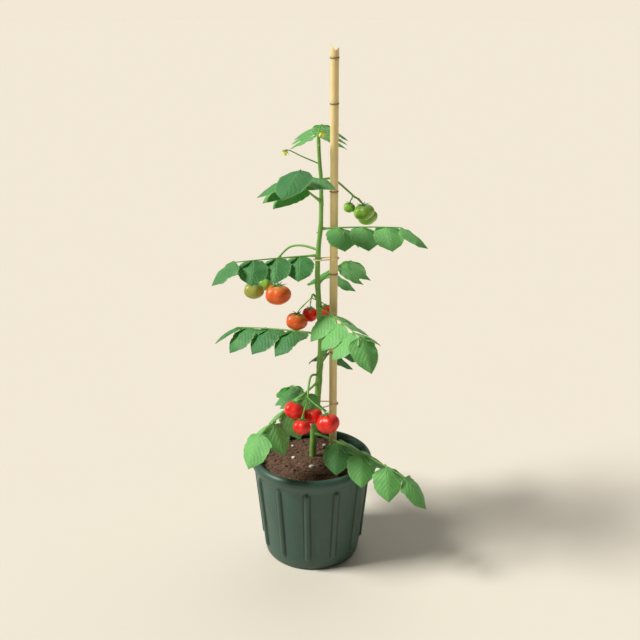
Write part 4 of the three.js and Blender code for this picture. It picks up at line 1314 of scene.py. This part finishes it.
def make_leaf(leaf, seed):
    """A compound leaf: its stalk, the leaflet pairs along it, the end leaflet and the hairs."""
    draw = random.Random(seed)
    bm = new_bmesh(toned=True)
    path = leaf_stalk_path(leaf)
    radius_at = leaf_stalk_radius(leaf)
    add_tube(bm, path, radius_at, 10, 48)
    paint_new(bm, STALK)
    root = leaf.get("root", (0, 0))
    # Each leaflet's tone carries painted light and shade as well as the leaf's own green
    for pair in range(LEAF_PAIRS):
        share = (leaf["first"] + pair * leaf["gap"]) / leaf["length"]
        base = path.at(share)
        compass = lerp(*leaf["turn"], share)
        slope = lerp(*leaf["lift"], share)
        own = dict(hang=leaf["hang"], sweep=(leaf["sweep"], leaf["sweep"]), root=root)
        own.update(leaf.get("bent", {}).get(pair, {}))
        for side, sign in enumerate((1, -1)):
            start = base + direction(compass + 90, 0) * sign * STALK_SINK
            sweep = own["sweep"][side]
            fall = own["hang"][side] - slope * math.sin(math.radians(sweep))
            add_leaflet(bm, start, compass + sign * (90 - sweep), fall, leaf["leaflet"],
                        own["root"][side], lerp(*leaf["tone"], share), draw)
    end = [size * growth for size, growth in zip(leaf["leaflet"], END_LEAFLET)]
    add_leaflet(bm, path.at(0.99), leaf["turn"][1] + leaf.get("tip_turn", 0), leaf["tip"], end,
                root[0], leaf["tone"][1], draw)
    add_hairs(bm, path, radius_at, LEAF_HAIRS, draw, HAIR_LENGTH * 0.8)
    paint_new(bm, HAIR)
    finish_piece(bm, leaf["name"] + "_blades", GREEN_FINISHES, [leaf["name"]], sharp=60)


# ---- fruit and trusses

def skin_height(rise, share):
    """How high a fruit's upper skin is at a share of its radius, with a dimple at the stalk."""
    return rise * math.sqrt(max(1 - share * share, 0.0)) - FRUIT_DIMPLE * bell(share, 0.35)


def fruit_turn(centre, end):
    """The fruit's own axis, kept close to upright, leaning to its stalk."""
    lean = (end - centre).normalized().lerp(UP, FRUIT_UPRIGHT).normalized()
    return UP.rotation_difference(lean).to_matrix().to_4x4()


def make_fruit(name, node_name, fruit, end):
    """A flattened round fruit with shallow lobes, pleated round its stalk."""
    centre, radius, rise, kind = fruit
    centre = Vector(centre)
    bm = new_bmesh()
    bmesh.ops.create_uvsphere(bm, u_segments=44, v_segments=30, radius=1.0, calc_uvs=False)
    uv = bm.loops.layers.uv.verify()
    for face in bm.faces:
        for loop in face.loops:
            spot = loop.vert.co
            loop[uv].uv = (math.atan2(spot.y, spot.x) / (2 * math.pi) + 0.5,
                           0.5 + math.asin(max(-1.0, min(1.0, spot.z))) / math.pi)
    for vert in bm.verts:
        x, y, z = vert.co
        out = min(math.hypot(x, y), 1.0)
        turn = math.atan2(y, x)
        pleat = abs(math.cos(FRUIT_LOBES * turn / 2)) - PLEAT_AVERAGE
        lobe = FRUIT_LOBE_DEPTH * math.cos(FRUIT_LOBES * turn) * out
        lobe += PLEAT_OUT * pleat * out * smooth_step(-0.3, 0.8, z)
        lobe *= 1 + FRUIT_LOBE_UNEQUAL * math.sin(turn * 2 + centre.x * 300)
        wide = radius * (1 + lobe)
        if z > 0:
            height = skin_height(rise, out) + PLEAT_UP * rise * pleat * smooth_step(0.1, 0.5, out)
        else:
            height = z * rise
        vert.co = (x * wide, y * wide, height)
    bmesh.ops.transform(bm, matrix=Matrix.Translation(centre) @ fruit_turn(centre, end),
                        verts=bm.verts[:])
    paint_new(bm, 0)
    finish_piece(bm, name, [FRUIT_SKINS[kind]], [node_name])


def calyx_height(rise, share):
    """How high the calyx lies over the fruit's skin."""
    return skin_height(rise, share) + CALYX_CLEAR + CALYX_RISE * rise


def add_sepal(bm, turn, radius, rise, draw):
    """One narrow pointed sepal that lies over the fruit's shoulder and lifts at its tip."""
    lift = draw.uniform(0.10, 0.30)
    bend = draw.uniform(-0.12, 0.12)
    reach = SEPAL_REACH * radius * draw.uniform(0.95, 1.15)

    def place(u, v):
        side = 2 * u - 1
        out = v * reach
        half = radius * along_table(SEPAL_OUTLINE, v)
        share = clamp(out / radius)
        height = calyx_height(rise, max(share, 0.12)) + lift * rise * v ** 4
        height -= abs(side) * half * 0.35
        sway = bend * radius * v * v
        return turn @ Vector((out, half * side + sway, height))

    add_blade(bm, SEPAL_GRID, place, SEPAL_TONE, SEPAL_THICKNESS, UPPER, UNDER)


def truss_radius(share):
    """A main stalk that thins towards its end."""
    return TRUSS_RADIUS * (1.25 - 0.35 * share)


def pedicel_radius(share):
    """A thin stalk with a knuckle half way and a thicker end at the fruit."""
    return PEDICEL_RADIUS * (0.85 + 0.55 * bell(share - 0.55, 0.07) + 0.5 * bell(1 - share, 0.08))


def add_stalk(bm, path, radius_at, sides, steps, hairs, hair_length, draw):
    """A hairy green stalk."""
    add_tube(bm, path, radius_at, sides, steps)
    paint_new(bm, STALK)
    add_hairs(bm, path, radius_at, hairs, draw, hair_length)
    paint_new(bm, HAIR)


def make_truss(truss, seed):
    """A fruit stalk with a pedicel and a calyx for each of its fruits."""
    draw = random.Random(seed)
    bm = new_bmesh(toned=True)
    path = Path(truss["path"])
    end = path.at(1.0)
    add_stalk(bm, path, truss_radius, 10, 30, TRUSS_HAIRS, HAIR_LENGTH * 0.8, draw)
    for centre, radius, rise, _ in truss["fruits"]:
        centre = Vector(centre)
        turn = Matrix.Translation(centre) @ fruit_turn(centre, end)
        crown = calyx_height(rise, 0.36)
        seat = turn @ Vector((0, 0, crown))
        above = turn @ Vector((0, 0, crown + PEDICEL_RISE))
        points = geometry.interpolate_bezier(path.at(0.9), end.lerp(above, 0.35), above, seat, 24)
        pedicel = Path(points, smooth=False)
        add_stalk(bm, pedicel, pedicel_radius, 8, 24, PEDICEL_HAIRS, HAIR_LENGTH * 0.6, draw)
        for i in range(SEPAL_COUNT):
            spot = i + draw.uniform(-0.1, 0.1)
            spin = Matrix.Rotation(2 * math.pi * spot / SEPAL_COUNT, 4, "Z")
            add_sepal(bm, turn @ spin, radius, rise, draw)
    finish_piece(bm, truss["name"] + "_stalk", GREEN_FINISHES, [truss["name"]], sharp=60)


# ---- flowers

def flower_stalk_radius(share):
    """The radius at the foot, and how much is lost towards the flower."""
    return FLOWER_STALK[0] - FLOWER_STALK[1] * share


def add_star(bm, crown, draw, outer, wide, fall, under):
    """A ring of pointed petals that spread from the crown and bend down."""
    for i in range(PETAL_COUNT):
        spot = i + draw.uniform(-0.06, 0.06)
        turn = Matrix.Rotation(2 * math.pi * spot / PETAL_COUNT, 4, "Z")
        curl = draw.uniform(0.85, 1.15)

        def place(u, v):
            side = 2 * u - 1
            half = wide * along_table(PETAL_OUTLINE, v)
            out = outer * math.sin(v * 1.35) / math.sin(1.35)
            drop = fall * curl * v ** 1.4
            return crown + turn @ Vector((out, half * side, -drop + abs(side) * half * 0.25))

        add_blade(bm, PETAL_GRID, place, PETAL_TONE, PETAL_THICKNESS, 0, under)


def make_flower(flower, seed):
    """A stalk with its green calyx, and a nodding flower with a cone of anthers."""
    draw = random.Random(seed)
    crown = Vector(flower["path"][-1])
    bm = new_bmesh(toned=True)
    add_stalk(bm, Path(flower["path"]), flower_stalk_radius, 8, 30, FLOWER_HAIRS,
              HAIR_LENGTH * 0.6, draw)
    add_star(bm, crown, draw, **FLOWER_SEPALS, under=UNDER)
    finish_piece(bm, f"flower_{flower['name']}_stem", GREEN_FINISHES,
                 [f"flower_stalk_{flower['name']}"], sharp=60)
    bm = new_bmesh(toned=True)
    low = crown - UP * PETALS_BELOW
    add_star(bm, low, draw, **FLOWER_PETALS, under=0)
    cone = Path([low + UP * height for height in ANTHER_ENDS], smooth=False)
    add_tube(bm, cone, lambda share: ANTHER_RADIUS * (1 - 0.75 * share ** 1.6), 10, 12)
    paint_new(bm, 1)
    finish_piece(bm, f"flower_{flower['name']}_petals", [PETAL_YELLOW, ANTHER_GOLD],
                 [f"flower_{flower['name']}"], sharp=50)


# ---- ties

def tie_path(tie):
    """From behind the cane, round the stem, in front of both and back, at one height."""
    height, stem_round, cane_round = tie["height"], tie["stem_round"], tie["cane_round"]
    stem = stem_centre(height)
    points = [(CANE_AXIS[0] + 0.009, CANE_AXIS[1] + cane_round + 0.007, height - 0.009)]

    def bend(x, y, reach, angles):
        for turn in map(math.radians, angles):
            east, north = polar(reach, turn)
            points.append((x + east, y + north, height))

    bend(*CANE_AXIS, cane_round, (80, 100))
    bend(stem.x, stem.y, stem_round, (110, 140, 170, 200, 230, 260))
    bend(*CANE_AXIS, cane_round, (-110, -75, -40, -5, 30, 65))
    points.append((CANE_AXIS[0] - 0.004, CANE_AXIS[1] + cane_round + 0.008, height - 0.008))
    knot = Vector((CANE_AXIS[0] + 0.003, CANE_AXIS[1] + cane_round + 0.001, height - 0.001))
    return Path(points), knot


def add_twine(bm, path, radius):
    """Strands laid round each other along a path."""
    turns = path.length / (radius * TWINE_LAY)
    steps = max(round(turns * TWINE_STEPS), TWINE_STEPS)
    frames = path.frames(steps)
    for strand in range(TWINE_STRANDS):
        start = 2 * math.pi * strand / TWINE_STRANDS
        points = []
        for i, place in enumerate(frames):
            turn = start + 2 * math.pi * turns * i / steps
            offset = Vector((*polar(1.0, turn), 0.0)) * radius * STRAND_OFFSET
            points.append(place @ offset)
        add_tube(bm, Path(points, smooth=False), lambda share: radius * STRAND_RADIUS, 6, steps)


def make_tie(number, tie):
    """A loop of twine round the stem and the cane, with a small round knot behind the cane."""
    bm = new_bmesh()
    path, knot = tie_path(tie)
    add_twine(bm, path, TWINE_RADIUS)
    loop = []
    for i in range(KNOT_STEPS + 1):
        east, up = polar(KNOT_RADIUS, 2 * math.pi * KNOT_TURNS * i / KNOT_STEPS)
        loop.append(knot + Vector((east, -0.0015 + 0.003 * i / KNOT_STEPS, up)))
    add_twine(bm, Path(loop), TWINE_RADIUS * 0.9)
    paint_new(bm, 0)
    finish_piece(bm, f"twine_{number}", [JUTE], [f"tie_{number}"], sharp=60)


# ---- floor, lights, camera

def make_floor():
    bm = bmesh.new()
    bmesh.ops.create_circle(bm, cap_ends=True, radius=FLOOR_RADIUS, segments=64)
    floor = mesh_object("floor", bm, [FLOOR_PAPER])


def make_sky():
    """Weak light from all round, and a plain pale wall where the camera looks past the floor."""
    world = bpy.data.worlds.new("studio")
    world.use_nodes = True
    tree = world.node_tree
    tree.nodes.clear()
    seen = node(tree, "Background", {0: WALL_COLOUR, 1: 1.0})
    soft = node(tree, "Background", {0: SKY_COLOUR, 1: SKY_STRENGTH})
    looking = node(tree, "LightPath").outputs["Is Camera Ray"]
    mixed = node(tree, "MixShader", {0: looking, 1: soft.outputs[0], 2: seen.outputs[0]})
    output = node(tree, "OutputWorld")
    tree.links.new(mixed.outputs[0], output.inputs[0])
    bpy.context.scene.world = world


def add_sun(name, came_from, energy, width):
    sun = bpy.data.lights.new(name, "SUN")
    sun.energy = energy
    sun.angle = math.radians(width)
    sun.color = LIGHT_COLOUR
    lamp = new_object(name, sun)
    lamp.rotation_mode = "QUATERNION"
    lamp.rotation_quaternion = UP.rotation_difference(Vector(came_from).normalized())


def make_lights():
    """A key from the upper left and a broad soft light from above and behind."""
    add_sun("key", *KEY_LIGHT)
    add_sun("back", *BACK_LIGHT)


def make_camera():
    data = bpy.data.cameras.new("camera")
    data.lens = LENS
    data.sensor_width = SENSOR_WIDTH
    data.clip_end = VIEW_REACH
    camera = new_object("camera", data)
    camera.location = CAMERA_PLACE
    camera.rotation_euler = (math.radians(90 - CAMERA_PITCH), 0, 0)
    bpy.context.scene.camera = camera
    bpy.context.scene.view_settings.view_transform = "Standard"


# ---- the whole plant

make_camera()
make_floor()
make_sky()
make_lights()
make_pot()
make_soil()
make_perlite()
make_cane()
make_stem()
for number, leaf in enumerate(LEAVES):
    make_leaf(leaf, LEAF_SEED + number)
for number, truss in enumerate(TRUSSES):
    make_truss(truss, TRUSS_SEED + number)
    stalk_end = Path(truss["path"]).at(1.0)
    for letter, fruit in zip("abcd", truss["fruits"]):
        mark = f"{number + 1}{letter}"
        make_fruit("fruit_" + mark, "tomato_" + mark, fruit, stalk_end)
for number, flower in enumerate(FLOWERS):
    make_flower(flower, FLOWER_SEED + number)
for number, tie in enumerate(TIES):
    make_tie(number + 1, tie)

bpy.context.view_layer.update()
